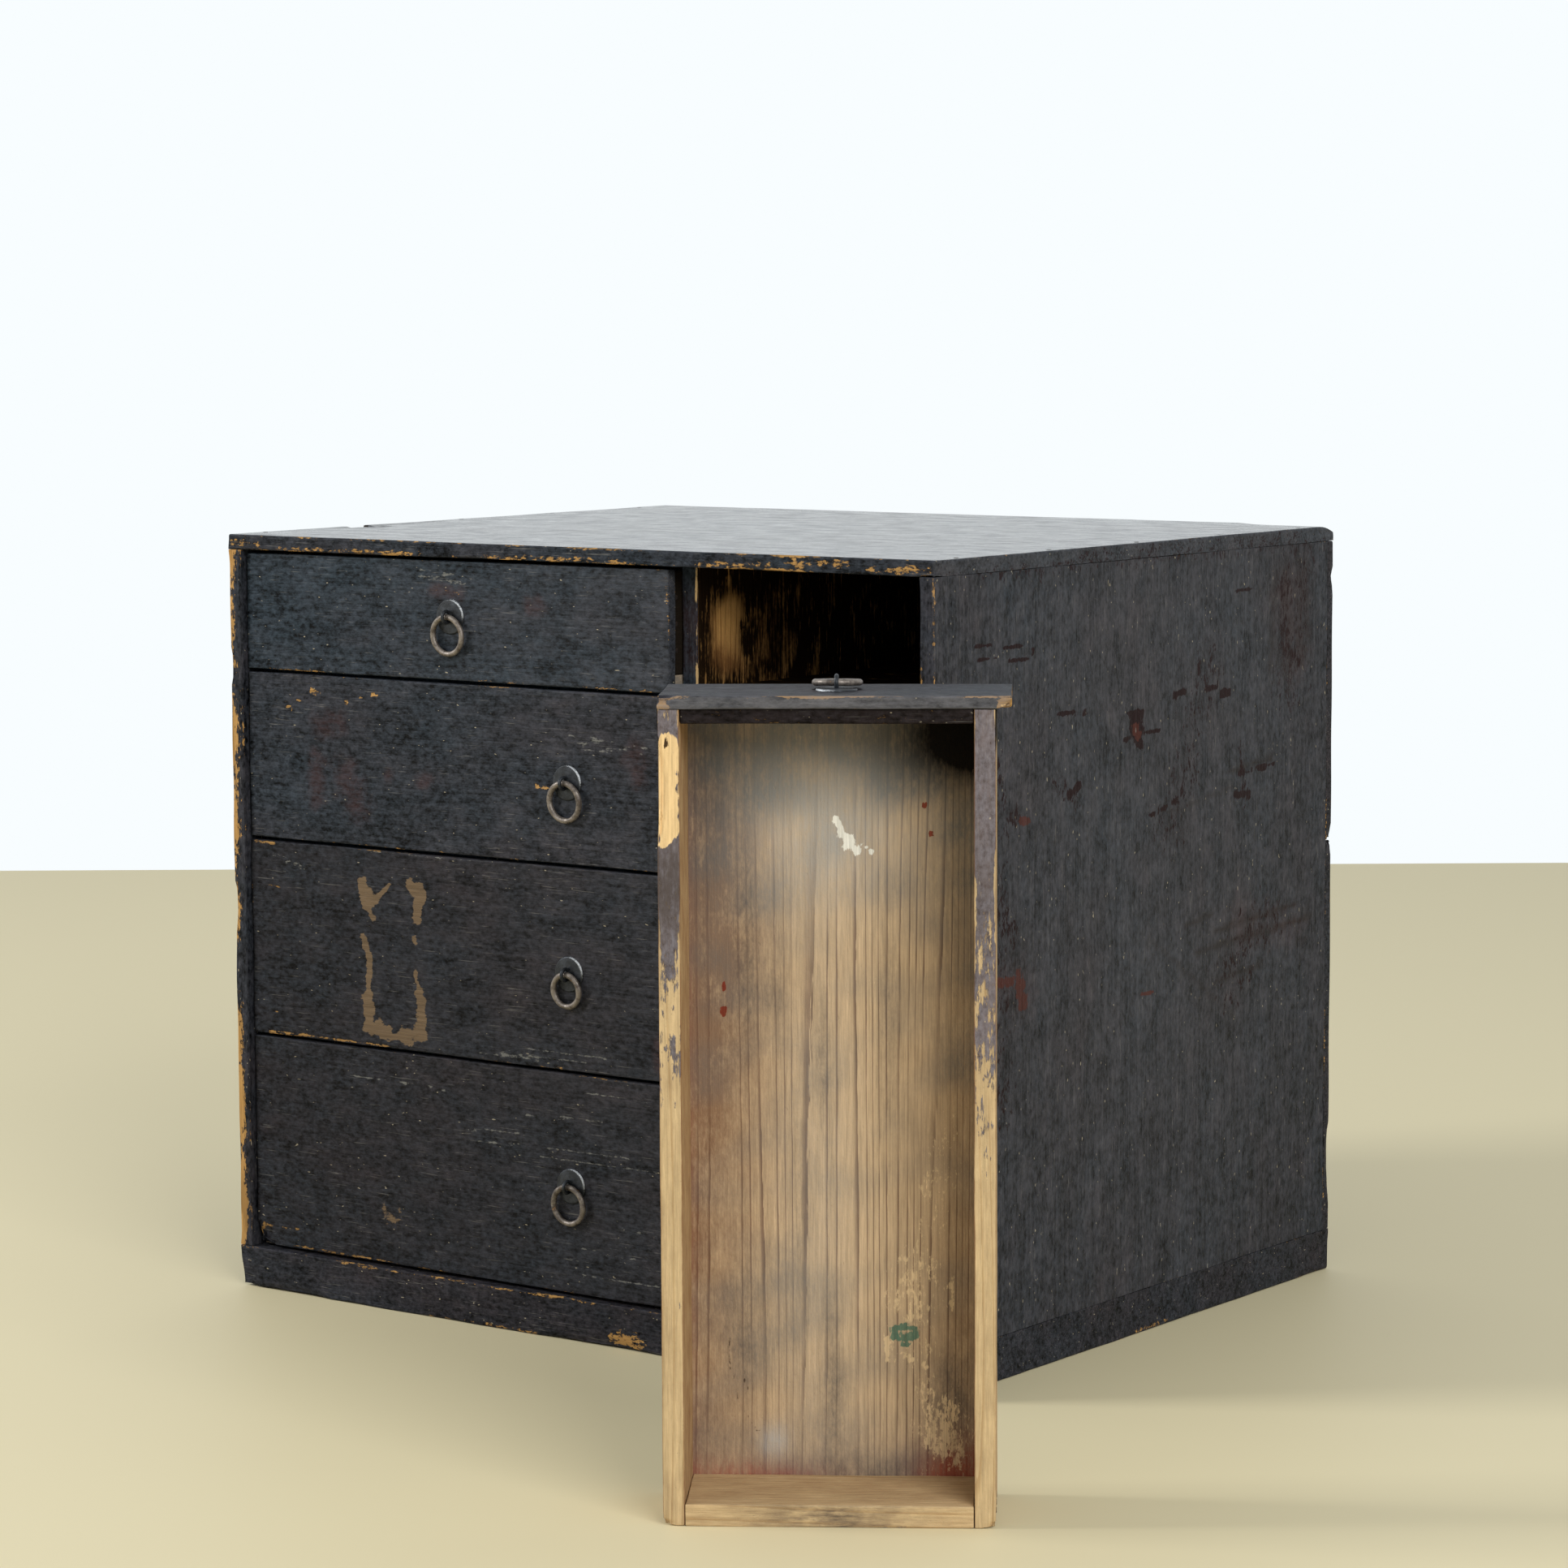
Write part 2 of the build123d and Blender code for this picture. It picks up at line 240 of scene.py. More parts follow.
def painted_timber(name, paint, wood, hard, soft, gloss=0.42, shine=0.05, late=0.5, tooth=(3.2, 1.3),
                   mottled=1.0):
    """Old paint over softwood, in layers. The paint drifts between a cool and a warm tone and is mottled by
    the grain below it, with pale hairlines, dark pits and a few flecks. Where the wear field beats a toothed
    noise the wood shows, early wood that darkens to late wood in each year ring. Soft marks (field, colour,
    share, streaks) stain both like a wash, and hard marks (field, colour, share) lie over them with a broken
    rim."""
    material, tree = blank_material(name)
    grain = add(tree, "Attribute", {}, "Vector", attribute_name="grain")
    field = {n: add(tree, "Attribute", {}, "Fac", attribute_name=n) for n in ("wear", "rings", "tone")}

    # Sizes of the patterns in mm, along and across the grain, and how many finer layers each has
    sizes = {"patch": (110, 60, 3), "cloud": (22, 12, 4), "lines": (45, 1.6, 3), "weave": (3.6, 2.2, 3),
             "tooth": (*tooth, 4), "crumb": (9, 5, 4), "hair": (16, 0.7, 1), "fleck": (3.4, 1.6, 1)}
    noise = {}
    for layer, (along, across, detail) in sizes.items():
        scale = (1 / (along * MM), 1 / (across * MM), 1 / (across * MM))
        spot = add(tree, "Mapping", {"Vector": grain, "Scale": scale})
        noise[layer] = add(tree, "TexNoise",
                           {"Vector": spot, "Scale": 1, "Detail": detail, "Roughness": 0.68})

    # Paint
    drift = add(tree, "Math", {0: noise["patch"], 1: 0.7, 2: field["tone"]}, operation="MULTIPLY_ADD")
    drift = add(tree, "Math", {0: noise["cloud"], 1: 0.5, 2: drift}, operation="MULTIPLY_ADD")
    warm = add(tree, "MapRange", {"Value": drift, "From Min": 0.65, "From Max": 1.25})
    coat = add(tree, "Mix", {0: warm, 6: linear(paint[0]), 7: linear(paint[1])}, 2, data_type="RGBA")
    mottle = add(tree, "Math", {0: noise["lines"], 1: 0.35, 2: noise["weave"]}, operation="MULTIPLY_ADD")
    mottle = add(tree, "Math", {0: noise["cloud"], 1: 0.6, 2: mottle}, operation="MULTIPLY_ADD")
    shade = add(tree, "MapRange", {"Value": mottle, "From Min": 0.74, "From Max": 1.22,
                                   "To Min": 1 - 0.95 * mottled, "To Max": 1 + 1.0 * mottled})
    coat = add(tree, "Mix", {0: 1.0, 6: coat, 7: shade}, 2, data_type="RGBA", blend_type="MULTIPLY")
    proud = add(tree, "Math", {0: noise["cloud"], 1: 0.4, 2: noise["hair"]}, operation="MULTIPLY_ADD")
    hairline = add(tree, "MapRange", {"Value": proud, "From Min": 0.88, "From Max": 1.02, "To Max": 0.34})
    coat = add(tree, "Mix", {0: hairline, 6: coat, 7: linear(paint[2])}, 2, data_type="RGBA")
    pit = add(tree, "MapRange", {"Value": noise["weave"], "From Min": 0.33, "From Max": 0.25, "To Max": 0.8})
    coat = add(tree, "Mix", {0: pit, 6: coat, 7: linear("#0a0909")}, 2, data_type="RGBA")
    fleck = add(tree, "MapRange",
                {"Value": noise["fleck"], "From Min": 0.75, "From Max": 0.785, "To Max": 0.55})
    coat = add(tree, "Mix", {0: fleck, 6: coat, 7: linear(paint[3])}, 2, data_type="RGBA")

    # Wood: each ring runs from early to late wood and breaks off sharply, with fibres along the grain
    waver = add(tree, "Math", {0: noise["lines"], 1: 0.3, 2: field["rings"]}, operation="MULTIPLY_ADD")
    year = add(tree, "Math", {0: waver}, operation="FRACT")
    dark = add(tree, "MapRange", {"Value": year, "From Min": 0.74, "From Max": 0.97, "To Max": late},
               interpolation_type="SMOOTHSTEP")
    uneven = add(tree, "MapRange", {"Value": noise["patch"], "From Min": 0.25, "From Max": 0.55})
    dark = add(tree, "Math", {0: dark, 1: uneven}, operation="MULTIPLY")
    bare_wood = add(tree, "Mix", {0: dark, 6: linear(wood[0]), 7: linear(wood[1])}, 2, data_type="RGBA")
    fibre = add(tree, "Math", {0: noise["hair"], 1: 0.6, 2: noise["lines"]}, operation="MULTIPLY_ADD")
    fibre = add(tree, "MapRange",
                {"Value": fibre, "From Min": 0.5, "From Max": 1.1, "To Min": 0.7, "To Max": 1.25})
    bare_wood = add(tree, "Mix", {0: 1.0, 6: bare_wood, 7: fibre}, 2, data_type="RGBA", blend_type="MULTIPLY")

    # Where the paint is gone, then the washes and the marks
    rough_edge = add(tree, "Math", {0: noise["tooth"], 1: 1.3, 2: noise["crumb"]}, operation="MULTIPLY_ADD")
    bitten = add(tree, "Math", {0: rough_edge, 1: field["wear"]}, operation="ADD")
    bare = add(tree, "MapRange", {"Value": bitten, "From Min": 1.64, "From Max": 1.74})
    colour = add(tree, "Mix", {0: bare, 6: coat, 7: bare_wood}, 2, data_type="RGBA")
    broken = add(tree, "Math", {0: noise["lines"], 1: 0.6, 2: noise["cloud"]}, operation="MULTIPLY_ADD")
    broken = add(tree, "Math", {0: noise["tooth"], 1: 0.8, 2: broken}, operation="MULTIPLY_ADD")
    for mark, tint, share, streaks in soft:
        spread = add(tree, "Attribute", {}, "Fac", attribute_name=mark)
        streaked = add(tree, "MapRange", {"Value": broken, "From Min": 0.85, "From Max": 1.55,
                                          "To Min": 1 - 0.8 * streaks, "To Max": 1 + 0.5 * streaks})
        wash = add(tree, "Math", {0: spread, 1: streaked}, operation="MULTIPLY")
        wash = add(tree, "MapRange", {"Value": wash, "To Max": share})
        colour = add(tree, "Mix", {0: wash, 6: colour, 7: linear(tint)}, 2, data_type="RGBA")
    for mark, tint, share in hard:
        spread = add(tree, "Attribute", {}, "Fac", attribute_name=mark)
        ragged = add(tree, "Math", {0: rough_edge, 1: 0.6, 2: spread}, operation="MULTIPLY_ADD")
        mask = add(tree, "MapRange", {"Value": ragged, "From Min": 1.12, "From Max": 1.22, "To Max": share})
        tinted = add(tree, "Mix", {0: 1.0, 6: linear(tint), 7: fibre}, 2, data_type="RGBA",
                     blend_type="MULTIPLY")
        colour = add(tree, "Mix", {0: mask, 6: colour, 7: tinted}, 2, data_type="RGBA")

    satin = add(tree, "MapRange", {"Value": noise["cloud"], "From Min": 0.35, "From Max": 0.65,
                                   "To Min": gloss - 0.06, "To Max": gloss + 0.1})
    rough = add(tree, "Mix", {0: bare, 2: satin, 3: 0.8}, 0, data_type="FLOAT")
    ridge = add(tree, "Math", {0: noise["lines"], 1: noise["weave"]}, operation="ADD")
    ridge = add(tree, "Math", {0: bare, 1: -0.6, 2: ridge}, operation="MULTIPLY_ADD")
    ridge = add(tree, "Math", {0: pit, 1: -0.4, 2: ridge}, operation="MULTIPLY_ADD")
    relief = add(tree, "Bump", {"Height": ridge, "Strength": 0.8, "Distance": 0.4 * MM})
    surface = add(tree, "BsdfPrincipled", {"Base Color": colour, "Roughness": rough, "Normal": relief,
                                           "Specular IOR Level": shine})
    add(tree, "OutputMaterial", {"Surface": surface})
    return material


# Black paint gone satin: blue-black where it is thick, brown-black where it is thin, with dusty hairlines on
# the raised grain and dark red undercoat in the chips. Rubbed arrises show ochre softwood.
BLACK = ("#293139", "#2a2629", "#95928c", "#c4b89e")
OCHRE = ("#ab8450", "#6b4f2e")
MARKS = (("chip", "#1f0f10", 0.92), ("russet", "#4c2a24", 0.8), ("paste", "#6d5b47", 0.92),
         ("raw", "#dfbb86", 0.95), ("pale", "#85847f", 0.55), ("hole", "#0b0706", 0.95))
# The first wash is real staining and also the painted shade inside the case, and the last is a pale grey
# painted sheen
WASHES = (("stain", "#160d07", 0.96, 1.0), ("ruddy", "#432b2a", 0.45, 1.2), ("bloom", "#77767a", 0.75, 1.0))
black_paint = painted_timber("black_paint_on_softwood", BLACK, OCHRE, MARKS, WASHES)

# The right rear corner of the case, which stands about the middle of the frame
HALF_WIDTH, HALF_DEPTH = box_of("base_board")[1][:2].round(4)

# A point this near to a face lies on it
ON_FACE = 0.5 * MM

# The inside of the case lies behind the fronts and between the sides. Its wear leaves little paint, and
# painted shade makes it almost black.
INSIDE_FRONT = -0.168
INSIDE_HALF_WIDTH = 0.217
INSIDE_WEAR = 0.9
INSIDE_SHADE = 2.2


def case_board(node, along, across, radius, seed, step, tone, inner, arrises, joints=(), bites=(), dents=(),
               marks=()):
    """One board of the case, worn and painted, in the place of its CAD node. Its inner face has little paint,
    and painted shade makes it almost black."""
    low, high = box_of(node)
    points, squares = board_skin(low, high, step)
    fields = timber(points, along, across, 4.5 * MM, seed)
    fields["wear"] = arris_wear(points, low, high, arrises, seed)
    fields["tone"] = np.full(len(points), tone)
    inside = np.abs(points[:, inner[0]] - (low, high)[inner[1]][inner[0]]) < ON_FACE
    inside &= (points[:, 1] > INSIDE_FRONT) & (np.abs(points[:, 0]) < INSIDE_HALF_WIDTH)
    fields["wear"] = np.where(inside, INSIDE_WEAR, fields["wear"])
    # Painted shade on the inner face
    fields["stain"] = inside * INSIDE_SHADE
    lay_marks(fields, points, low, high, marks, seed)
    points = worn(points, low, high, radius, seed, bites, dents, joints)
    return piece(node + "_worn", points, squares, black_paint, "case", "painted_wood", (node,), **fields)


LIGHT_WEAR = all_arrises(1.6 * MM, 0.3)
case_board(
    "base_board", along=0, across=1, radius=1.5 * MM, seed=11, step=3 * MM, tone=0.45, inner=ABOVE,
    arrises=LIGHT_WEAR + [(FRONT, ABOVE, 2.0 * MM, 0.44), (FRONT, BELOW, 1.8 * MM, 0.35)],
    joints=[(ABOVE, LEFT), (ABOVE, RIGHT), (ABOVE, REAR)],
    bites=[((-HALF_WIDTH, -HALF_DEPTH, 0.0), 14 * MM, 1.4 * MM),
           ((-0.19, -HALF_DEPTH, 0.0), (30 * MM, 6 * MM, 4 * MM), 1.2 * MM),
           ((0.02, -HALF_DEPTH, 0.0), (40 * MM, 6 * MM, 4 * MM), 1.0 * MM)],
    marks=[
        ("wear", FRONT, 0.62, [(29, 5, 46, 5, 6)]),
        ("wear", FRONT, 0.47, [(-150, 21, -90, 21, 1.2), (-80, 21, 20, 21, 1.0), (-70, 1.5, -20, 1, 1.6)]),
        ("pale", FRONT, 0.34, [
            (-200, 15, -120, 15.5, 1.2), (-110, 12, -30, 12, 1.2), (-60, 7, 30, 7, 1.2),
            (-180, 9, -130, 9, 1.2), (20, 16, 90, 16, 1.2),
        ]),
        ("wear", RIGHT, 0.5, [(-8, 1.5, 23, 2, 1.8)]),
        ("pale", FRONT, 0.4, [(33.7, 20, 33.7, 8, 0.9), (45, 2, 45, 7, 0.8)]),
        ("pale", RIGHT, 0.4, [(54, 10, 56, 7, 1.4), (22, 20, 29, 16, 2.2), (-32, 11, -26, 9, 2.2)]),
    ],
)

# Sides
# Two thin boards with upright grain that stand on the base. Their front arrises are rubbed through to
# ochre wood, most of all on the left, and the right one is scored and has a knot that bled through.
SEAMS = [(f, s) for f in (ABOVE, BELOW) for s in (LEFT, RIGHT)] + [(REAR, LEFT), (REAR, RIGHT)]
case_board(
    "left_side", along=2, across=1, radius=1.6 * MM, seed=21, step=4 * MM, tone=0.4, inner=RIGHT,
    arrises=LIGHT_WEAR + [(LEFT, FRONT, 6.0 * MM, 0.95), (RIGHT, FRONT, 1.5 * MM, 0.35)],
    joints=SEAMS,
    bites=[((-HALF_WIDTH, -HALF_DEPTH, 0.205), 14 * MM, 1.0 * MM),
           ((-HALF_WIDTH, -HALF_DEPTH, 0.33), 9 * MM, 0.8 * MM)],
    marks=[
        ("chip", LEFT, 0.42, [
            (-60, 120, -40, 126, 9), (60, 300, 90, 296, 8), (10, 60, 24, 70, 8), (-120, 250, -90, 240, 9),
            (-150, 388, 170, 388, 7),
        ]),
        ("ruddy", LEFT, 0.45, [(-100, 300, -60, 280, 22), (70, 130, 110, 150, 26)]),
        ("pale", LEFT, 0.3, [(-40, 200, 40, 190, 1.2), (0, 30, 50, 26, 3)]),
    ],
)
case_board(
    "right_side", along=2, across=1, radius=1.4 * MM, seed=31, step=2.2 * MM, tone=0.42, inner=LEFT,
    arrises=LIGHT_WEAR + [(LEFT, FRONT, 2.2 * MM, 0.6), (RIGHT, FRONT, 2.0 * MM, 0.6)],
    joints=SEAMS,
    marks=[
        ("chip", RIGHT, 0.85, [
            (-10, 309, -8, 304, 8.5), (-17, 316, -2, 315, 1.6), (-20, 303, 12, 305, 1.2),
            (-81, 320, -55, 319, 1.4), (25, 321, 36, 323, 2), (57, 323, 66, 322, 2.5),
            (73, 319, 79, 318, 2.9), (86, 371, 108, 372, 1.4), (49, 339, 50, 331, 1.2),
            (90, 277, 125, 278, 1.6), (86, 265, 100, 265, 2.8), (-70, 280, -61, 284, 2.5),
            (-132, 301, -132, 291, 1.5), (-152, 358, -103, 354, 1.1), (-101, 354, -103, 350, 1.1),
            (-149, 351, -105, 349, 1.1), (0, 262, 30, 268, 1.0),
        ]),
        ("stain", RIGHT, 1.0, [
            (48, 188, 112, 192, 2.0), (67, 197, 147, 202, 1.8), (95, 190, 165, 194, 1.8),
            (69, 171, 114, 174, 1.8), (37, 203, 64, 206, 1.6), (80, 278, 122, 282, 1.8),
        ]),
        ("stain", RIGHT, 0.6, [
            (3, 201, 85, 151, 1.8), (134, 376, 137, 330, 9), (154, 376, 152, 335, 9),
            (120, 330, 125, 372, 4), (-150, 396, 160, 397, 2.5), (20, 262, 84, 270, 1.6),
        ]),
        ("chip", RIGHT, 0.54, [
            (-150, 394, 160, 395, 3.2), (-125, 394, -101, 395, 4.5), (-17, 394, 5, 394, 4),
            (132, 340, 150, 330, 5),
        ]),
        ("chip", RIGHT, 0.46, [
            (-140, 285, -115, 272, 9), (-135, 250, -120, 215, 12), (-60, 275, -80, 285, 8),
            (134, 376, 137, 330, 10), (152, 370, 150, 335, 9), (90, 290, 95, 260, 6),
        ]),
        ("russet", RIGHT, 0.8, [
            (-132, 195, -120, 194, 3), (-114, 195, -111, 183, 5.5), (-10, 307, -8, 304, 4.6),
            (-112, 272, -106, 270, 3), (-8, 174, 7, 173, 1.2),
        ]),
        # Painted sheen: a broad pale haze over most of the right side
        ("bloom", RIGHT, 0.2, [(0, 330, 0, 180, 260)]),
        ("chip", RIGHT, 0.42, [
            (-140, 300, -132, 130, 28), (150, 390, 140, 320, 34), (-150, 392, 160, 392, 9),
            (60, 330, 20, 250, 30), (120, 200, 80, 170, 34),
        ]),
        ("ruddy", RIGHT, 0.45, [
            (90, 200, 150, 188, 12), (-125, 195, -112, 188, 13), (140, 365, 145, 335, 18),
        ]),
        ("hole", RIGHT, 0.6, [(63, 50, 63, 50.5, 1.7)]),
        ("pale", RIGHT, 0.5, [
            (-9, 308, -8.5, 305, 1.8), (63, 47, 61, 20, 1.2), (56, 40, 55, 22, 0.8),
            (-51, 30, -51, 26, 1.0),
        ]),
    ],
)

# Back boards
# Two thin wide boards with level grain, pegged over the rear of the sides. Their ends show as a strip at
# the rear of the right side, chipped where they meet.
for back_seed, back_node in enumerate(("lower_back_board", "upper_back_board"), 41):
    case_board(
        back_node, along=0, across=2, radius=1.2 * MM, seed=back_seed, step=5 * MM, tone=0.5, inner=FRONT,
        arrises=all_arrises(1.8 * MM, 0.38),
        joints=[(FRONT, LEFT), (FRONT, RIGHT)],
        bites=[((HALF_WIDTH, HALF_DEPTH, 0.233), 5 * MM, 1.4 * MM),
               ((HALF_WIDTH, HALF_DEPTH, 0.372), 4 * MM, 1.2 * MM),
               ((HALF_WIDTH, HALF_DEPTH, 0.06), (4 * MM, 4 * MM, 22 * MM), 1.2 * MM)],
        marks=[
            ("chip", REAR, 0.4, [(-150, 90, -90, 96, 9), (40, 300, 120, 310, 12), (80, 120, 100, 60, 8)]),
            ("ruddy", REAR, 0.45, [(-60, 280, 20, 270, 30), (100, 160, 150, 150, 26)]),
        ],
    )

# Shelves and divider
# Thin dust boards that carry the drawers, grooved into the sides and set back behind the fronts, and the
# upright between the upper drawer and the small bay. Paint reached only their front edges, and behind
# them painted shade makes them almost black, lifted from one golden patch on the divider.
BARE = 1.3  # wear that leaves no paint

# Cedar almost black with painted shade in streaks, with the paint of the case on its front edges
shaded_cedar = painted_timber(
    "cedar_inside_in_painted_shade", BLACK, ("#e4ae68", "#7a4f26"),
    (("raw", "#d9b682", 0.95), ("hole", "#120804", 0.95)),
    (("ruddy", "#5c2d18", 0.7, 0.8), ("stain", "#0e0704", 0.985, 1.3)), gloss=0.6, late=0.7, tooth=(14, 1.6))


def ovals(first, second, places):
    """The sum of soft ovals (first, second, half size, half size, strength), each of them its strength times
    exp(-a^2 - b^2), with a and b the distances from its middle in half sizes."""
    return sum(s * np.exp(-(((first - a) / w) ** 2) - ((second - b) / h) ** 2) for a, b, w, h, s in places)


SHELVES = ("lower_shelf", "middle_shelf", "upper_shelf", "divider")
for shelf_seed, shelf_node in enumerate(SHELVES, 51):
    upright = shelf_node == "divider"
    low, high = box_of(shelf_node)
    points, squares = board_skin(low, high, 2.5 * MM if upright else 6 * MM)
    fields = timber(points, 2 if upright else 0, 1, 5 * MM, shelf_seed)
    painted = points[:, 1] < low[1] + 1 * MM
    fields["wear"] = np.where(painted, 0.1, BARE)
    # Painted shade on all but the painted front edges
    fields["stain"] = np.where(painted, 0.0, INSIDE_SHADE)
    if upright:
        deep, high_up = points[:, 1] / MM, points[:, 2] / MM
        glow = ovals(deep, high_up, [
            (-147, 364, 13, 12, 1.1), (-144, 346, 18, 12, 0.7), (-112, 352, 28, 30, 0.5),
            (-138, 372, 8, 8, 0.4), (-127, 353, 5, 12, -0.9),
        ])
        # Painted shade over the divider's face in the bay, lifted near the front where glow is high
        fields["stain"] = np.where(painted, 0.0, np.clip(1.7 - 1.6 * glow, 0.1, 3))
        fields["ruddy"] = ovals(deep, high_up, [
            (-153, 346, 12, 8, 1.0), (-105, 350, 26, 40, 1.0), (-160, 366, 8, 14, 0.9),
            (-140, 340, 16, 6, 0.9),
        ])
        foot = np.clip((352 - high_up) / 12, 0.6, 1)
        fields["raw"] = foot * arris_wear(points, low, high, [(RIGHT, FRONT, 1.6 * MM, 0.8)], shelf_seed)
        lay_marks(fields, points, low, high, [("hole", RIGHT, 0.7, [(-132.5, 362, -131.5, 360, 3)])], seed=7)
    points = worn(points, low, high, 0.8 * MM, shelf_seed)
    piece(shelf_node + "_worn", points, squares, shaded_cedar, "case", "inside_wood", (shelf_node,), **fields)

# Top panel
# One wide thin board over the sides and the back, rubbed smooth by things set on it. Its front arris is
# worn to ochre in patches, a chip is missing from the left edge, and the rear corner is knocked round.

# The same paint polished by use, so that it mirrors the room
rubbed_paint = painted_timber("rubbed_black_paint_on_top", BLACK, OCHRE, MARKS, WASHES, gloss=0.17, shine=1.0)
top = case_board(
    "top_panel", along=0, across=1, radius=1.5 * MM, seed=61, step=2.5 * MM, tone=0.3, inner=BELOW,
    arrises=LIGHT_WEAR + [(FRONT, BELOW, 2.6 * MM, 0.55), (FRONT, ABOVE, 1.8 * MM, 0.52)],
    joints=[(BELOW, LEFT), (BELOW, RIGHT), (BELOW, REAR)],
    bites=[((HALF_WIDTH, -HALF_DEPTH, 0.392), 8 * MM, 1.0 * MM)],
    dents=[(ABOVE, 3.2 * MM, [(0, -HALF_WIDTH, 0.026, 1, 1), (1, -0.088, 0.008, 6, 1)]),
           (ABOVE, 0.8 * MM, [(0, -0.217, 0.004, 2, 1), (1, -0.068, 0.05, 4, 1)]),
           (ABOVE, 3.8 * MM, [(0, HALF_WIDTH, 0.06, 1, 1), (1, HALF_DEPTH, 0.016, 1, 2)])],
    marks=[
        ("wear", FRONT, 0.5, [
            (185, 394.5, 222, 395, 3.5), (85, 394, 130, 394.5, 3.0), (-50, 393.5, 40, 393.5, 2.4),
            (-222, 396, -205, 395, 3.5), (140, 396, 175, 397, 3.0), (-190, 393.5, -90, 393.5, 1.6),
        ]),
        # Painted sheen on the right end of the top
        ("bloom", RIGHT, 0.2, [(-185, 396, 185, 396, 30)]),
        ("chip", RIGHT, 0.42, [(-180, 393, 180, 393, 3.0), (-60, 396, 150, 396, 7.0)]),
    ],
)

# Only what faces up is rubbed
UPWARD = 0.85
facing = np.empty(3 * len(top.data.polygons), np.float32)
top.data.polygons.foreach_get("normal", facing)
top.data.materials.append(rubbed_paint)
top.data.polygons.foreach_set("material_index", (facing[2::3] > UPWARD).astype(np.int32))

# Case pegs
# Slim hardwood pegs that hold the boards together, driven in and cut off flush. Age and soot have turned
# their ends nearly black.
def dress(node, material):
    """Gives a material to a CAD node that keeps its own shape."""
    slots = frame["nodes"][node].data.materials
    slots.clear()
    slots.append(material)


# Darkened oak end grain with open pores 0.8 mm apart
peg_oak, peg_tree = blank_material("darkened_oak_pegs")
place = add(peg_tree, "TexCoord", {}, "Object")
pores = add(peg_tree, "TexNoise", {"Vector": place, "Scale": 1 / (0.8 * MM), "Detail": 3})
pores = add(peg_tree, "MapRange", {"Value": pores, "From Min": 0.4, "From Max": 0.6})
end_grain = add(peg_tree, "Mix", {0: pores, 6: linear("#2b1f17"), 7: linear("#15100d")}, 2, data_type="RGBA")
peg_surface = add(peg_tree, "BsdfPrincipled", {"Base Color": end_grain, "Roughness": 0.6})
add(peg_tree, "OutputMaterial", {"Surface": peg_surface})
dress("case_pegs", peg_oak)

# Drawers
# Each drawer has a front rabbeted for its sides and bottom, sides that run through to the rear, a back
# between them and a thin bottom, all of straight-grained cedar. Only the fronts and the rims are painted.
DRAWERS = ("upper_drawer", "second_drawer", "third_drawer", "bottom_drawer", "small_drawer")
TONES = {"upper_drawer": 0.1, "second_drawer": 0.3, "third_drawer": 0.35, "bottom_drawer": 0.38,
         "small_drawer": 0.4}

# The small drawer's own right, rear and up where it stands on its back end, from the axis of its ring
ring_joint = next(j for j in frame["joints"] if j["name"] == "small_drawer_ring_swing")
stand_across = np.array(ring_joint["axis"], float)
STAND_AXES = np.array([-stand_across, (0.0, 0.0, -1.0), -np.cross((0.0, 0.0, 1.0), stand_across)])

# Cedar gone tawny, with grey remains of paint on the rims, made paler by painted sheen
RIM_PAINT_AND_SHEEN = ("#6e6e77", "#565150", "#a8a29b", "#dccfb4")
drawer_cedar = painted_timber(
    "aged_cedar_with_painted_rim", RIM_PAINT_AND_SHEEN, ("#dcc194", "#ab8755"),
    (("raw", "#efcd98", 0.97), ("hole", "#2a160d", 0.95)),
    # The last wash is black paint and painted shade just behind the front
    (("stain", "#845c3c", 0.85, 0.8), ("dusk", "#4e4643", 0.8, 1.3), ("soot", "#100d0c", 0.98, 0.4)),
    gloss=0.5, tooth=(11, 1.5), mottled=0.6)

# Cedar darkened by dust, spills and painted shade, with close dark late-wood lines and painted sheen
floor_cedar = painted_timber(
    "stained_cedar_floor", RIM_PAINT_AND_SHEEN, ("#c8ad8a", "#6b5241"),
    (("tan", "#dbc097", 0.85), ("spot", "#7a2d1e", 0.9), ("green", "#47705f", 0.85),
     ("chalk", "#e6e4da", 0.98), ("crack", "#3b2b22", 0.8)),
    # The grey wash is dust and painted shade, the pale one painted sheen and the black one soot and painted
    # shade
    (("russet", "#74503a", 0.75, 0.8), ("dust", "#666868", 0.9, 0.6), ("haze", "#c3c4c2", 0.5, 0.6),
     ("smudge", "#3c3d40", 0.7, 1.1), ("red", "#a8452b", 0.66, 1.0), ("soot", "#0d0a08", 0.985, 0.2)),
    gloss=0.55, late=0.85)

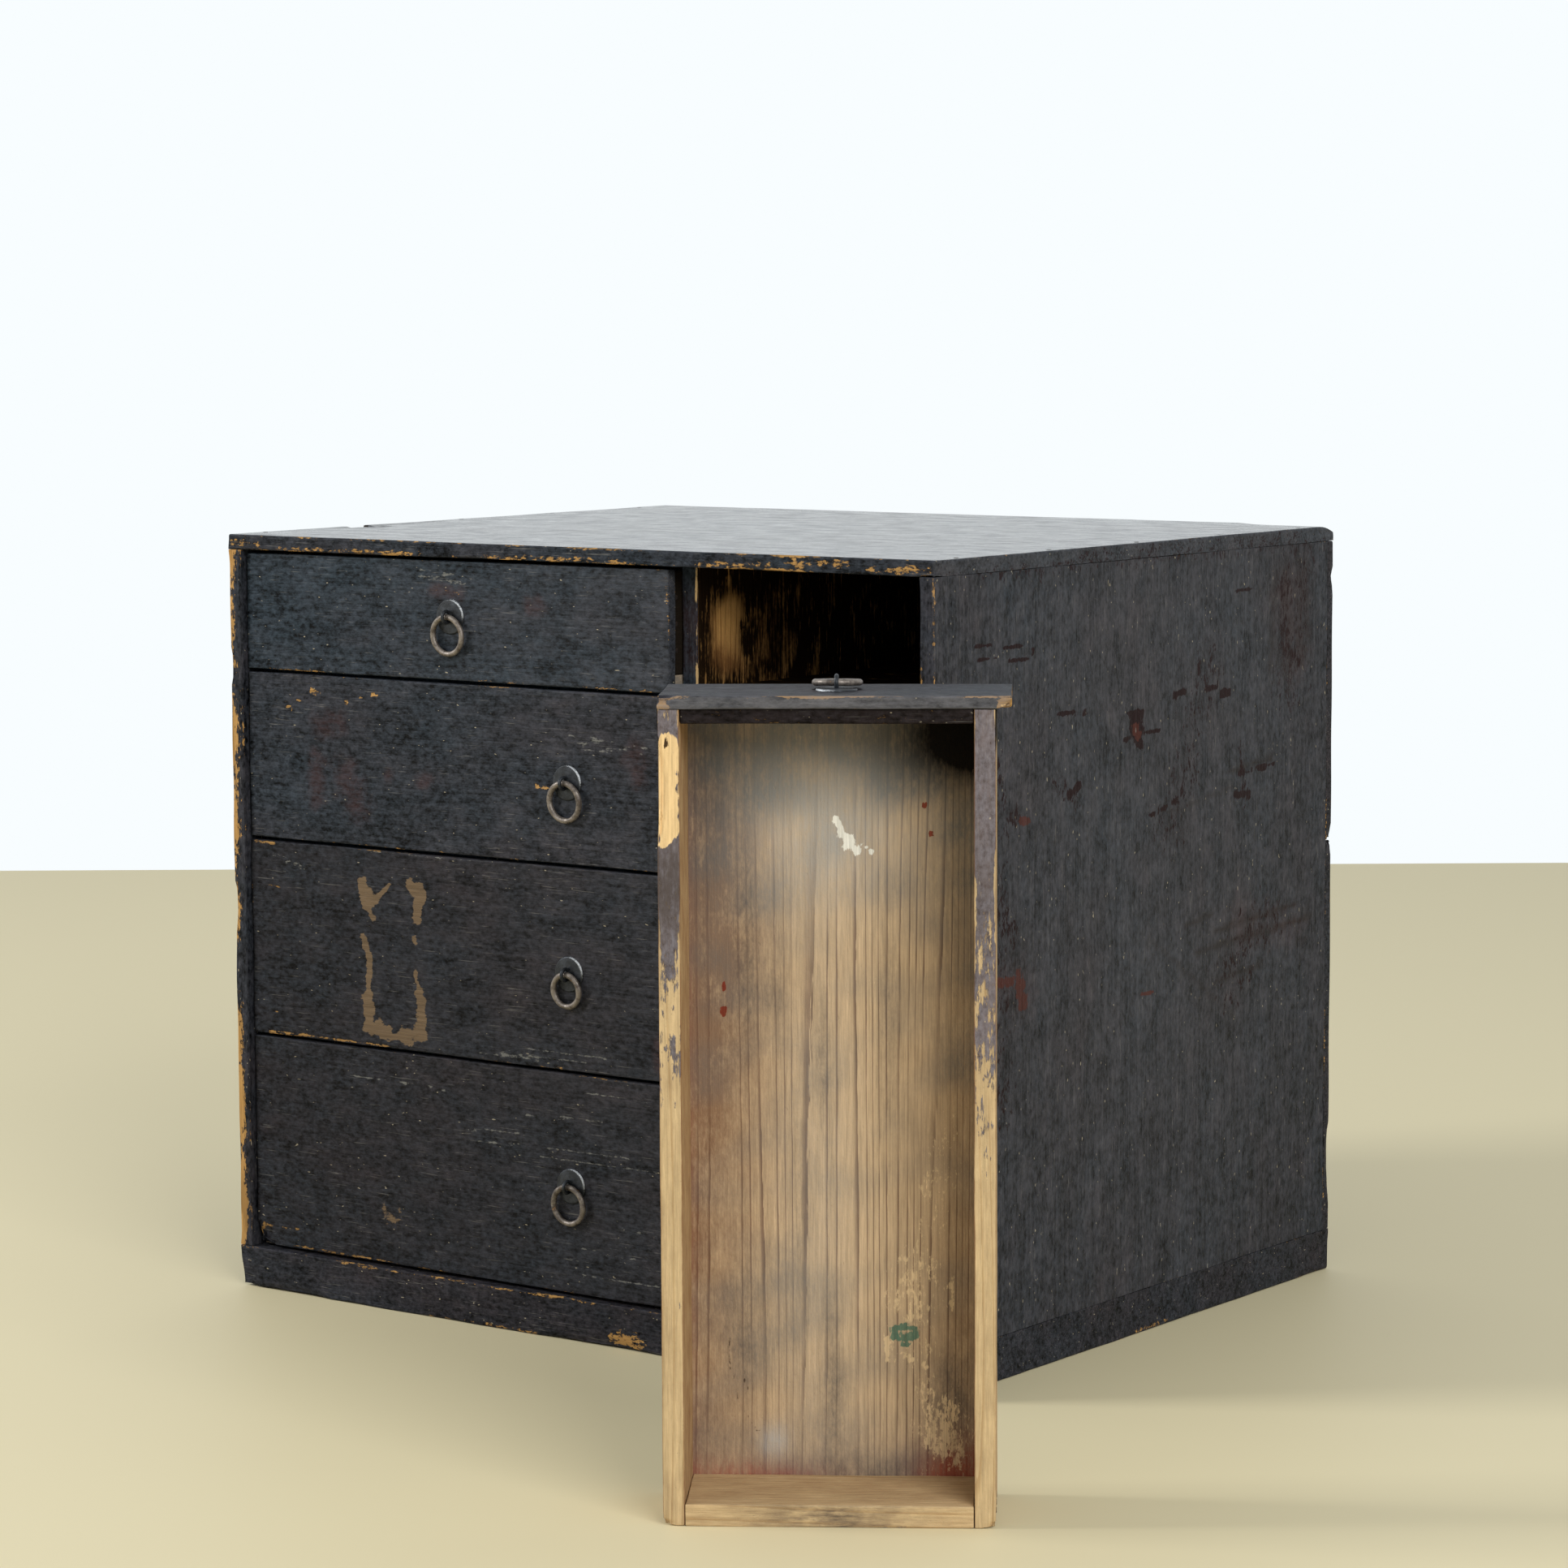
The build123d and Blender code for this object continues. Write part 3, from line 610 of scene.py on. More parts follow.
# What the fronts show, as (field, strength, strokes), in mm to the right and up
FRONT_MARKS = {
    "upper_drawer": [
        ("wear", 0.45, [
            (-60, 330.8, -20, 330.3, 1.2), (63.5, 386, 64, 372, 1.5), (10, 330.5, 60, 330.3, 1.0),
            (-86, 375, -70, 374, 1.6),
        ]),
        ("ruddy", 0.9, [(-86, 375, -70, 374, 4), (-22, 370, -16, 369, 5)]),
        ("pale", 0.5, [(-100, 386, -61, 382, 1.3), (-96, 381, -66, 379, 1.3), (-104, 383, -60, 379, 1.3)]),
        ("hole", 0.7, [(-29.6, 379.2, -29.2, 379.2, 1.6)]),
    ],
    "second_drawer": [
        ("wear", 0.75, [
            (-171, 320, -163, 319, 1.5), (-182, 314, -178, 313.6, 1.0), (-190, 312, -185, 310, 0.9),
            (-148, 315, -146, 315, 1.2), (-138, 318, -136, 318, 0.9), (-129, 320, -125, 319, 1.4),
            (-20, 279.5, -18, 279, 1.4), (-15, 279, -12.5, 279, 1.3),
        ]),
        ("ruddy", 0.9, [
            (-165, 302, -154, 304, 7), (-168, 284, -168, 264, 6), (-148, 278, -140, 262, 9),
            (-119, 279, -118, 279, 3), (-97, 278, -93, 277, 4), (42, 300, 46, 288, 7),
        ]),
        ("pale", 0.43, [
            (-109, 284, -107, 284, 1.0), (-100, 282, -94, 281, 1.0), (-106, 267, -103, 266, 1.2),
            (-83, 258, -80, 258, 1.0), (-169, 268, -169, 262, 1.0), (-114, 307.5, -98, 307, 0.9),
        ]),
        ("pale", 0.47, [(1, 306, 52, 302, 1.3), (10, 300, 40, 298, 1.3), (5, 303, 48, 299.5, 1.3)]),
    ],
    "third_drawer": [
        ("wear", 0.6, [
            (-204, 216, -194, 216, 0.9), (-203, 149, -198, 149, 1.1), (-214, 238.5, -196, 238.5, 1.3),
            (-205, 138.4, -120, 138, 0.9),
        ]),
        ("ruddy", 1.3, [(57, 155, 57, 145, 4)]),
        ("pale", 0.42, [
            (-199, 232, -178, 227, 3.0), (-195, 224, -186, 221, 2.0), (-140, 238.6, -60, 238.6, 0.8),
        ]),
        ("pale", 0.5, [(-45, 143, 10, 142, 1.3), (-30, 146, 30, 145, 1.3), (-60, 141, -20, 140.5, 1.2)]),
        ("paste", 0.9, [
            (-137, 221, -135, 212.5, 5.0), (-134, 217, -130, 213.5, 4.4), (-129, 214, -118.5, 222.5, 1.7),
            (-104, 223.5, -97.5, 220, 4.4), (-98.5, 218, -101, 206, 4.2), (-131.5, 205.5, -130, 204.5, 2.0),
            (-102.5, 195.5, -101.5, 193.5, 1.9), (-137.5, 194, -133, 182, 2.6), (-133, 182, -135, 163, 2.4),
            (-135, 163, -134, 150, 4.2), (-102.5, 179, -99.5, 168, 2.0), (-99.5, 168, -97.5, 150, 3.8),
            (-135, 147.5, -122, 144.5, 5.2), (-125, 143.4, -110, 143.4, 1.6), (-110, 145, -98, 147, 5.2),
        ]),
    ],
    "bottom_drawer": [
        ("wear", 0.6, [
            (-210, 33.5, -178, 33.2, 1.0), (-215, 30, -211, 34, 2.2), (-190, 25, -120, 24.6, 0.8),
        ]),
        ("paste", 0.5, [(-124, 48, -116, 47, 5.0), (-126, 56, -125, 49, 2.6), (-115, 53, -115, 48, 2.6)]),
        ("pale", 0.5, [
            (-71, 100, -34, 102, 1.3), (-61, 95, -12, 96, 1.3), (-149, 120, -77, 119, 1.2),
            (9, 127, 50, 126, 1.3), (-12, 96, 50, 97, 1.3), (-8, 41, 29, 41, 1.3), (0, 47, 40, 46, 1.3),
            (-20, 91, 56, 92, 1.3), (-30, 112, 20, 113, 1.3), (10, 60, 55, 60, 1.3), (0, 33, 56, 34, 1.3),
        ]),
    ],
    "small_drawer": [],
}


def drawer_piece(drawer, part, boards, material, axes, slot="drawer_wood"):
    """Joins boards (points, squares, fields) made in the drawer's own directions, and turns them to where
    the drawer stands."""
    points = np.concatenate([b[0] for b in boards])
    first = np.cumsum([0] + [len(b[0]) for b in boards[:-1]])
    squares = np.concatenate([b[1] + f for b, f in zip(boards, first)])
    names = set().union(*(b[2] for b in boards))
    fields = {n: np.concatenate([b[2].get(n, np.zeros(len(b[0]))) for b in boards]) for n in names}
    node = drawer + "_" + part
    piece(node + "_worn", points @ axes, squares, material, drawer, slot, (node,), **fields)


def face_board(drawer, low, high, seed):
    """The outer part of a front: painted all round, with its own marks. The bottom drawer's has a chipped
    corner, and the small drawer's has lost the paint and some wood at both ends of its rim."""
    points, squares = board_skin(low, high, 1.7 * MM)
    fields = timber(points, 0, 2, 4 * MM, seed)
    arrises = all_arrises(1.3 * MM, 0.3) + [(FRONT, BELOW, 1.5 * MM, 0.38), (FRONT, ABOVE, 1.3 * MM, 0.34)]
    fields["wear"] = arris_wear(points, low, high, arrises, seed)
    rightward = (points[:, 0] - low[0]) / (high[0] - low[0])
    fields["tone"] = TONES[drawer] + 0.15 * rightward
    # Painted sheen: the fronts grow paler towards the right
    fields["bloom"] = 0.11 * rightward
    if drawer in ("third_drawer", "bottom_drawer"):
        fields["stain"] = 0.36 * (1 - rightward)
    marks = [(field, FRONT, strength, strokes) for field, strength, strokes in FRONT_MARKS[drawer]]
    lay_marks(fields, points, low, high, marks, seed)
    bites = []
    if drawer == "bottom_drawer":
        bites = [(low, 12 * MM, 3.0 * MM)]
    if drawer == "small_drawer":
        ragged = 0.8 * ripple(points, 4 * MM, seed)
        lip = np.clip((low[0] + 6.2 * MM - points[:, 0]) / (1.5 * MM) + ragged, 0, 1)
        stub = np.clip((points[:, 0] - high[0] + 6 * MM) / (2 * MM) + ragged, 0, 1)
        rim = points[:, 2] > high[2] - 1.5 * MM
        behind = points[:, 1] > low[1] + 0.8 * MM
        fields["wear"] = np.maximum(fields["wear"], 1.1 * behind * np.maximum(lip, stub * rim))
        fields["raw"] = 0.32 * behind * lip
        # The rim is pale grey: worn-thin paint and painted sheen
        fields["bloom"] = rim * 0.7
        arris = arris_wear(points, low, high, [(FRONT, ABOVE, 1.6 * MM, 0.75)], seed + 3)
        fields["wear"] = np.maximum(fields["wear"], arris)
        bites = [(np.array([low[0], high[1], high[2]]), (6 * MM, 5 * MM, 9 * MM), 2.4 * MM),
                 (np.array([high[0], low[1], high[2]]), (8 * MM, 4 * MM, 4 * MM), 1.5 * MM)]
    return worn(points, low, high, 1.1 * MM, seed, bites), squares, fields


def rim_board(drawer, low, high, outer, seed):
    """A drawer's side: grey paint on its rim, paled by painted sheen, that wears off towards the rear, black
    paint and painted shade on the outer face just behind the front, and bare cedar inside."""
    points, squares = board_skin(low, high, 3 * MM)
    fields = timber(points, 1, 2, 3.2 * MM, seed)
    along = (points[:, 1] - low[1]) / MM
    rim = points[:, 2] > high[2] - 0.8 * MM
    gone = 0.25 + 0.72 * np.clip((along - 80) / 120, 0, 1) + 0.12 * ripple(points, 40 * MM, seed)
    arrises = [(ABOVE, LEFT, 1.4 * MM, 0.7), (ABOVE, RIGHT, 1.4 * MM, 0.7)]
    gone = np.maximum(gone, arris_wear(points, low, high, arrises, seed))
    fields["wear"] = np.where(rim, gone, BARE)
    outside = np.abs(points[:, 0] - (low, high)[outer][0]) < ON_FACE
    inside = np.abs(points[:, 0] - (low, high)[1 - outer][0]) < ON_FACE
    # Black paint and painted shade on the outer face near the front
    fields["soot"] = 2.5 * outside * np.clip(1.5 - along / 14, 0, 1)
    fields["stain"] = inside * 0.8 + outside * 0.55 + rim * 0.25
    fields["dusk"] = rim * (0.16 + np.exp(-(((along - 75) / 22) ** 2)) * (0.9 if outer else 0.3))
    bites = []
    if drawer == "small_drawer":
        heel = np.array([(low, high)[outer][0], high[1], (low[2] + high[2]) / 2])
        bites.append((heel, (4.5 * MM, 4.5 * MM, 80 * MM), 1.8 * MM))
    if drawer == "small_drawer" and outer == 1:
        edge = high[0] / MM - 4
        front = low[1] / MM
        lay_marks(fields, points, low, high, [
            ("raw", ABOVE, 1.0, [(edge, front + 15, edge, front + 52, 6.5)]),
            ("hole", ABOVE, 0.8, [(edge, front + 13, edge, front + 15, 1.7)])], seed)
        bites.append((np.array([high[0], low[1] + 33 * MM, high[2]]), (5 * MM, 26 * MM, 6 * MM), 1.5 * MM))
    return worn(points, low, high, 0.8 * MM, seed, bites), squares, fields


def small_floor_fields(points, low, high, seed):
    """What years of use have left on the small drawer's bottom, with painted shade along its edges and in the
    corner where the front meets the left side, and pale patches of painted sheen. Places run from 0 to 1,
    across from the right side and along from the front. The year rings close up from 18 in a board's width
    at the right to 52 at the left, and waver on the way."""
    across = (high[0] - points[:, 0]) / (high[0] - low[0])
    along = (points[:, 1] - low[1]) / (high[1] - low[1])
    slow = ripple(points * (1, 0.06, 1), 40 * MM, seed)
    rings = 28 * np.log(6 / (6 - 3.9 * np.clip(across, 0, 1))) + 0.35 * slow + 1.2 * along * across
    rings += 0.55 * np.sin(19.5 * across) + 0.35 * np.sin(48.4 * across + 1.3)
    fields = {"rings": rings}
    # Grey along the front and rear edges and the left side, and in patches: dust and painted shade
    dust = ovals(across, along, [
        (0.5, 0.0, 0.9, 0.16, 1.15), (0.5, 1.0, 0.9, 0.16, 0.35), (1.0, 0.3, 0.22, 0.25, 0.55),
        (0.15, 0.3, 0.2, 0.2, 0.4), (0.3, 0.75, 0.2, 0.07, 0.45),
    ])
    fields["dust"] = np.clip(dust + 0.2 * ripple(points, 30 * MM, seed + 1), 0, 1)
    russet = ovals(across, along, [
        (0.0, 0.5, 0.27, 0.8, 1.0), (0.1, 0.28, 0.18, 0.2, 0.7), (1.0, 0.7, 0.22, 0.5, 0.6),
    ])
    fields["russet"] = np.clip(russet, 0, 1.2)
    fields["smudge"] = 0.1 + ovals(across, along, [
        (0.24, 0.31, 0.03, 0.13, 0.5), (0.33, 0.36, 0.035, 0.06, 0.45), (0.47, 0.45, 0.025, 0.09, 0.55),
        (0.67, 0.4, 0.035, 0.14, 0.4), (0.5, 0.86, 0.035, 0.12, 0.6), (0.86, 0.9, 0.06, 0.08, 1.0),
        (0.22, 0.79, 0.05, 0.08, 0.4), (0.4, 0.62, 0.03, 0.14, 0.3), (0.6, 0.98, 0.2, 0.03, 0.6),
        (0.1, 0.15, 0.1, 0.1, 0.4),
    ])
    # Pale whitish patches: painted sheen
    fields["haze"] = ovals(across, along, [
        (0.47, 0.16, 0.24, 0.1, 0.85), (0.45, 0.6, 0.14, 0.3, 0.3), (0.315, 0.93, 0.04, 0.02, 1.2),
    ])
    fields["red"] = ovals(across, along, [
        (0.015, 0.6, 0.04, 0.5, 1.1), (0.9, 0.985, 0.12, 0.05, 1.5), (0.2, 0.985, 0.25, 0.025, 0.9),
    ])
    past_front = np.clip(along - 0.05, 0, 1)
    # Black in the corner where the front meets the left side: soot and painted shade
    fields["soot"] = 1.8 * np.exp(-(((across - 1.0) / 0.28) ** 2) - (past_front / 0.055) ** 2)
    fields["tan"] = ovals(across, along, [
        (0.74, 0.76, 0.15, 0.17, 0.44), (0.95, 0.09, 0.05, 0.05, 0.4), (0.6, 0.36, 0.12, 0.1, 0.3),
        (0.85, 0.55, 0.1, 0.12, 0.3), (0.86, 0.93, 0.12, 0.07, 0.44),
    ])
    upper = points[:, 2] > high[2] - ON_FACE
    for field in ("russet", "smudge", "haze", "red", "soot", "tan"):
        fields[field] = fields[field] * upper
    spots = [
        ("chalk", 0.8, [
            (0.51, 0.15, 0.52, 0.155, 2.2), (0.53, 0.165, 0.56, 0.18, 3.6),
            (0.565, 0.185, 0.575, 0.19, 2.2), (0.6, 0.18, 0.62, 0.19, 1.4),
        ]),
        ("green", 0.7, [
            (0.68, 0.785, 0.75, 0.785, 3.0), (0.695, 0.797, 0.74, 0.797, 3.0),
            (0.71, 0.806, 0.73, 0.806, 1.6),
        ]),
        ("tan", 0.62, [
            (0.66, 0.8, 0.665, 0.825, 2.2), (0.7, 0.815, 0.735, 0.825, 2.0), (0.77, 0.83, 0.78, 0.835, 1.6),
            (0.8, 0.86, 0.805, 0.87, 1.5), (0.73, 0.74, 0.735, 0.745, 1.4), (0.7, 0.72, 0.705, 0.725, 1.3),
            (0.86, 0.72, 0.86, 0.76, 1.4),
        ]),
        ("crack", 0.5, [
            (0.18, 0.8, 0.185, 0.84, 1.1), (0.185, 0.84, 0.21, 0.88, 1.1), (0.21, 0.88, 0.26, 0.915, 1.1),
            (0.26, 0.915, 0.3, 0.925, 1.0), (0.22, 0.81, 0.225, 0.85, 0.9), (0.225, 0.85, 0.26, 0.89, 0.9),
        ]),
        ("spot", 1.0, [
            (0.17, 0.355, 0.17, 0.36, 1.8), (0.17, 0.385, 0.17, 0.39, 1.8), (0.78, 0.13, 0.78, 0.134, 1.5),
            (0.8, 0.165, 0.8, 0.17, 1.2),
        ]),
    ]
    width = (high[0] - low[0]) / MM
    length = (high[1] - low[1]) / MM
    right, front = high[0] / MM, low[1] / MM
    marks = []
    for field, strength, strokes in spots:
        placed = [(right - a * width, front + b * length, right - c * width, front + d * length, r)
                  for a, b, c, d, r in strokes]
        marks.append((field, ABOVE, strength, placed))
    lay_marks(fields, points, low, high, marks, seed)
    return fields


for number, drawer in enumerate(DRAWERS):
    small = drawer == "small_drawer"
    axes = STAND_AXES if small else np.eye(3)
    seed = 100 + 20 * number
    left_low, left_high = box_of(drawer + "_left_side", axes)
    right_low, right_high = box_of(drawer + "_right_side", axes)
    back_low, back_high = box_of(drawer + "_back", axes)
    floor_low, floor_high = box_of(drawer + "_bottom", axes)
    front_low, front_high = box_of(drawer + "_front", axes)

    # The front's narrower part lies between the sides, a step lower than their rims
    tongue_low = np.array([left_high[0], left_low[1] - 0.5 * MM, floor_high[2]])
    tongue_high = np.array([right_low[0], front_high[1], left_high[2] - 1.2 * MM])
    tongue, tongue_squares = board_skin(tongue_low, tongue_high, 5 * MM)
    step_top = tongue[:, 2] > tongue_high[2] - 1 * MM
    tongue_fields = timber(tongue, 0, 2, 4 * MM, seed + 1)
    tongue_fields["tone"] = np.full(len(tongue), 0.9)
    tongue_fields["wear"] = np.where(step_top, 0.25, BARE)
    tongue_fields["stain"] = np.where(step_top, 0.6, 0.7)
    tongue = worn(tongue, tongue_low, tongue_high, 1.2 * MM, seed + 1)
    face_high = np.array([front_high[0], left_low[1], front_high[2]])
    face = face_board(drawer, front_low, face_high, seed)
    front_boards = [face, (tongue, tongue_squares, tongue_fields)]
    drawer_piece(drawer, "front", front_boards, black_paint, axes, "painted_wood")

    left = rim_board(drawer, left_low, left_high, 0, seed + 4)
    drawer_piece(drawer, "left_side", [left], drawer_cedar, axes)
    right = rim_board(drawer, right_low, right_high, 1, seed + 5)
    drawer_piece(drawer, "right_side", [right], drawer_cedar, axes)

    back, back_squares = board_skin(back_low, back_high, 3 * MM)
    back_fields = timber(back, 0, 2, 3 * MM, seed + 6)
    back_rim = back[:, 2] > back_high[2] - 0.8 * MM
    back_fields["wear"] = np.where(back_rim, 0.85, BARE)
    back_fields["stain"] = np.where(back_rim, 0.35, 0.5)
    middle = (back_low[0] + back_high[0]) / 2
    back_fields["dusk"] = back_rim * 0.8 * np.exp(-(((back[:, 0] - middle) / (35 * MM)) ** 2))
    back = worn(back, back_low, back_high, 0.9 * MM, seed + 6)
    drawer_piece(drawer, "back", [(back, back_squares, back_fields)], drawer_cedar, axes)

    floor, floor_squares = board_skin(floor_low, floor_high, 1.6 * MM if small else 7 * MM)
    floor_fields = timber(floor, 1, 0, 4.2 * MM, seed + 7)
    floor_fields["wear"] = np.full(len(floor), BARE)
    if small:
        floor_fields.update(small_floor_fields(floor, floor_low, floor_high, seed + 7))
    else:
        floor_fields["dust"] = np.clip(0.5 + 0.35 * ripple(floor, 60 * MM, seed + 8), 0, 1)
        floor_fields["smudge"] = np.clip(0.15 + 0.3 * ripple(floor * (1, 0.4, 1), 40 * MM, seed + 9), 0, 1)
    floor = worn(floor, floor_low, floor_high, 0.8 * MM, seed + 7)
    drawer_piece(drawer, "bottom", [(floor, floor_squares, floor_fields)], floor_cedar, axes)
    dress(drawer + "_pegs", peg_oak)

# Ring pulls
# Hand-forged iron: a domed disc on the front, a split pin with an eye through it, and a ring that swings in
# the eye. The ring is grey-brown and pitted with a little rust, and the disc keeps a dark scale that is
# rubbed bright along its rim, with a painted highlight on the rim's upper right.
def forged_iron(name, clean, dark, rust, rust_from, metal_share):
    """Wrought iron: two tones of scale, pits 0.7 mm apart, rust where the coarse noise is high, and bright
    metal where the rub-and-glint field is high, which is rubbed metal and a painted highlight."""
    material, tree = blank_material(name)
    place = add(tree, "TexCoord", {}, "Object")
    coarse = add(tree, "TexNoise", {"Vector": place, "Scale": 1 / (4 * MM), "Detail": 5, "Roughness": 0.65})
    pitted = add(tree, "TexNoise", {"Vector": place, "Scale": 1 / (0.7 * MM), "Detail": 3, "Roughness": 0.6})
    scale = add(tree, "MapRange", {"Value": coarse, "From Min": 0.42, "From Max": 0.6})
    colour = add(tree, "Mix", {0: scale, 6: linear(clean), 7: linear(dark)}, 2, data_type="RGBA")
    rub = add(tree, "Attribute", {}, "Fac", attribute_name="rub")
    rub = add(tree, "Math", {0: rub, 1: pitted, 2: 0.55}, operation="MULTIPLY_ADD")
    rub = add(tree, "MapRange", {"Value": rub, "From Min": 0.75, "From Max": 1.15})
    colour = add(tree, "Mix", {0: rub, 6: colour, 7: linear("#b9bcc0")}, 2, data_type="RGBA")
    rusty = add(tree, "MapRange", {"Value": coarse, "From Min": rust_from, "From Max": rust_from + 0.05})
    colour = add(tree, "Mix", {0: rusty, 6: colour, 7: linear(rust)}, 2, data_type="RGBA")
    metal = add(tree, "MapRange", {"Value": rusty, "To Min": metal_share, "To Max": 0.0})
    rough = add(tree, "MapRange",
                {"Value": pitted, "From Min": 0.3, "From Max": 0.7, "To Min": 0.3, "To Max": 0.6})
    relief = add(tree, "Bump", {"Height": pitted, "Strength": 0.5, "Distance": 0.2 * MM})
    surface = add(tree, "BsdfPrincipled", {"Base Color": colour, "Metallic": metal, "Roughness": rough,
                                           "Normal": relief})
    add(tree, "OutputMaterial", {"Surface": surface})
    return material


# The ring's iron is worn to grey-brown metal, and the disc's keeps the black scale of the forge
ring_iron = forged_iron("worn_wrought_iron", "#7f766e", "#4e4640", "#9a6a2e", 0.64, 0.55)
disc_iron = forged_iron("black_scaled_iron", "#33363b", "#202225", "#5a4430", 0.7, 0.6)


def net_squares(rows, columns):
    """Squares of a grid that is closed in both directions."""
    number = np.arange(rows * columns).reshape(rows, columns)
    across = np.roll(number, -1, 1)
    corners = [number, np.roll(number, -1, 0), np.roll(across, -1, 0), across]
    return np.stack(corners, -1).reshape(-1, 4)


def full_turn(steps):
    """Angles of a full turn in equal steps, without the last, which is the first again."""
    return np.arange(steps) * 2 * np.pi / steps


RING_STEPS, WIRE_STEPS = 96, 20
DISC_STEPS, DOME_STEPS, BEVEL_STEPS = 72, 14, 8
BEVEL = 0.8 * MM
PIN_HOLE = 0.8 * MM  # radius of the hole in the disc
SEAT = 0.02 * MM  # the disc lies this far off the front
for number, drawer in enumerate(DRAWERS):
    axes = STAND_AXES if drawer == "small_drawer" else np.eye(3)

    # The ring: a circle of hammered wire. Each point is the middle, plus the spoke to the wire, plus the
    # wire's own round, whose thickness changes along the ring.
    places = vertices_of(drawer + "_ring")
    middle = (places.min(0) + places.max(0)) / 2
    directions = np.linalg.eigh((places - middle).T @ (places - middle))[1]
    flat = (places - middle) @ directions
    wire = np.ptp(flat[:, 0]) / 2
    middle = middle + directions @ ((flat.min(0) + flat.max(0)) / 2)
    radius = np.ptp(flat[:, 1]) / 2 - wire
    turn, about = np.meshgrid(full_turn(RING_STEPS), full_turn(WIRE_STEPS), indexing="ij")
    spoke = np.cos(turn)[..., None] * directions[:, 1] + np.sin(turn)[..., None] * directions[:, 2]
    thin = ripple((middle + radius * spoke).reshape(-1, 3), 7 * MM, 300 + number).reshape(turn.shape)
    thick = wire * (0.94 + 0.05 * np.clip(thin, -1, 1))
    points = middle + spoke * (radius + thick * np.cos(about))[..., None]
    points = points + directions[:, 0] * (thick * np.sin(about))[..., None]
    squares = net_squares(*turn.shape)
    if np.linalg.det(directions) > 0:
        squares = squares[:, ::-1]
    piece(drawer + "_ring_forged", points.reshape(-1, 3), squares, ring_iron, drawer + "_ring_body", "iron",
          (drawer + "_ring",))

    # The disc: a profile turned about the pin, from its hole over the dome, down the bevel and back
    low, high = box_of(drawer + "_rosette", axes)
    middle = (low + high) / 2
    rim = (high[0] - low[0]) / 2
    dome = high[1] - low[1]
    bend = np.linspace(0, np.pi / 2, BEVEL_STEPS)[1:]
    reach = np.concatenate([[PIN_HOLE], np.linspace(PIN_HOLE, rim - BEVEL, DOME_STEPS),
                            rim - BEVEL * (1 - np.sin(bend)), [rim]])
    rise = np.concatenate([[SEAT], dome - (dome - BEVEL) * np.linspace(0, 1, DOME_STEPS) ** 2,
                           BEVEL * np.cos(bend), [SEAT]])
    turn, reach = np.meshgrid(full_turn(DISC_STEPS), reach, indexing="ij")
    rise = np.broadcast_to(rise, turn.shape)
    points = [middle[0] + reach * np.cos(turn), high[1] - rise, middle[2] + reach * np.sin(turn)]
    points = np.stack(points, -1).reshape(-1, 3)
    points[:, 1] += 0.04 * MM * (1 + ripple(points, 5 * MM, 320 + number))
    points[:, 1] = np.clip(points[:, 1], low[1], high[1])
    # Bright along the rim and most on its upper right: rubbed metal and a painted highlight
    rub = np.clip((reach - rim + 1.4 * MM) / (0.9 * MM), 0, 1)
    rub = rub * np.clip(1.6 * np.cos(turn - 0.7) - 0.6, 0, 1)
    piece(drawer + "_rosette_forged", points @ axes, net_squares(*turn.shape), disc_iron, drawer, "iron",
          (drawer + "_rosette",), rub=rub.ravel())
    dress(drawer + "_eye", disc_iron)

# Floor, light and camera
# A plain pale floor that ends behind the chest, where the white world looks like a wall, a window's light
# from the upper left and a broad fill from the right.

# The camera that the photograph's perspective gives
CAMERA_PLACE = Vector((1.4409, -1.9322, 0.5258))
CAMERA_TURN = radians(36.729)
CAMERA_PITCH = radians(6.168)
CAMERA_ROLL = radians(-0.294)
CAMERA_LENS = 105.14

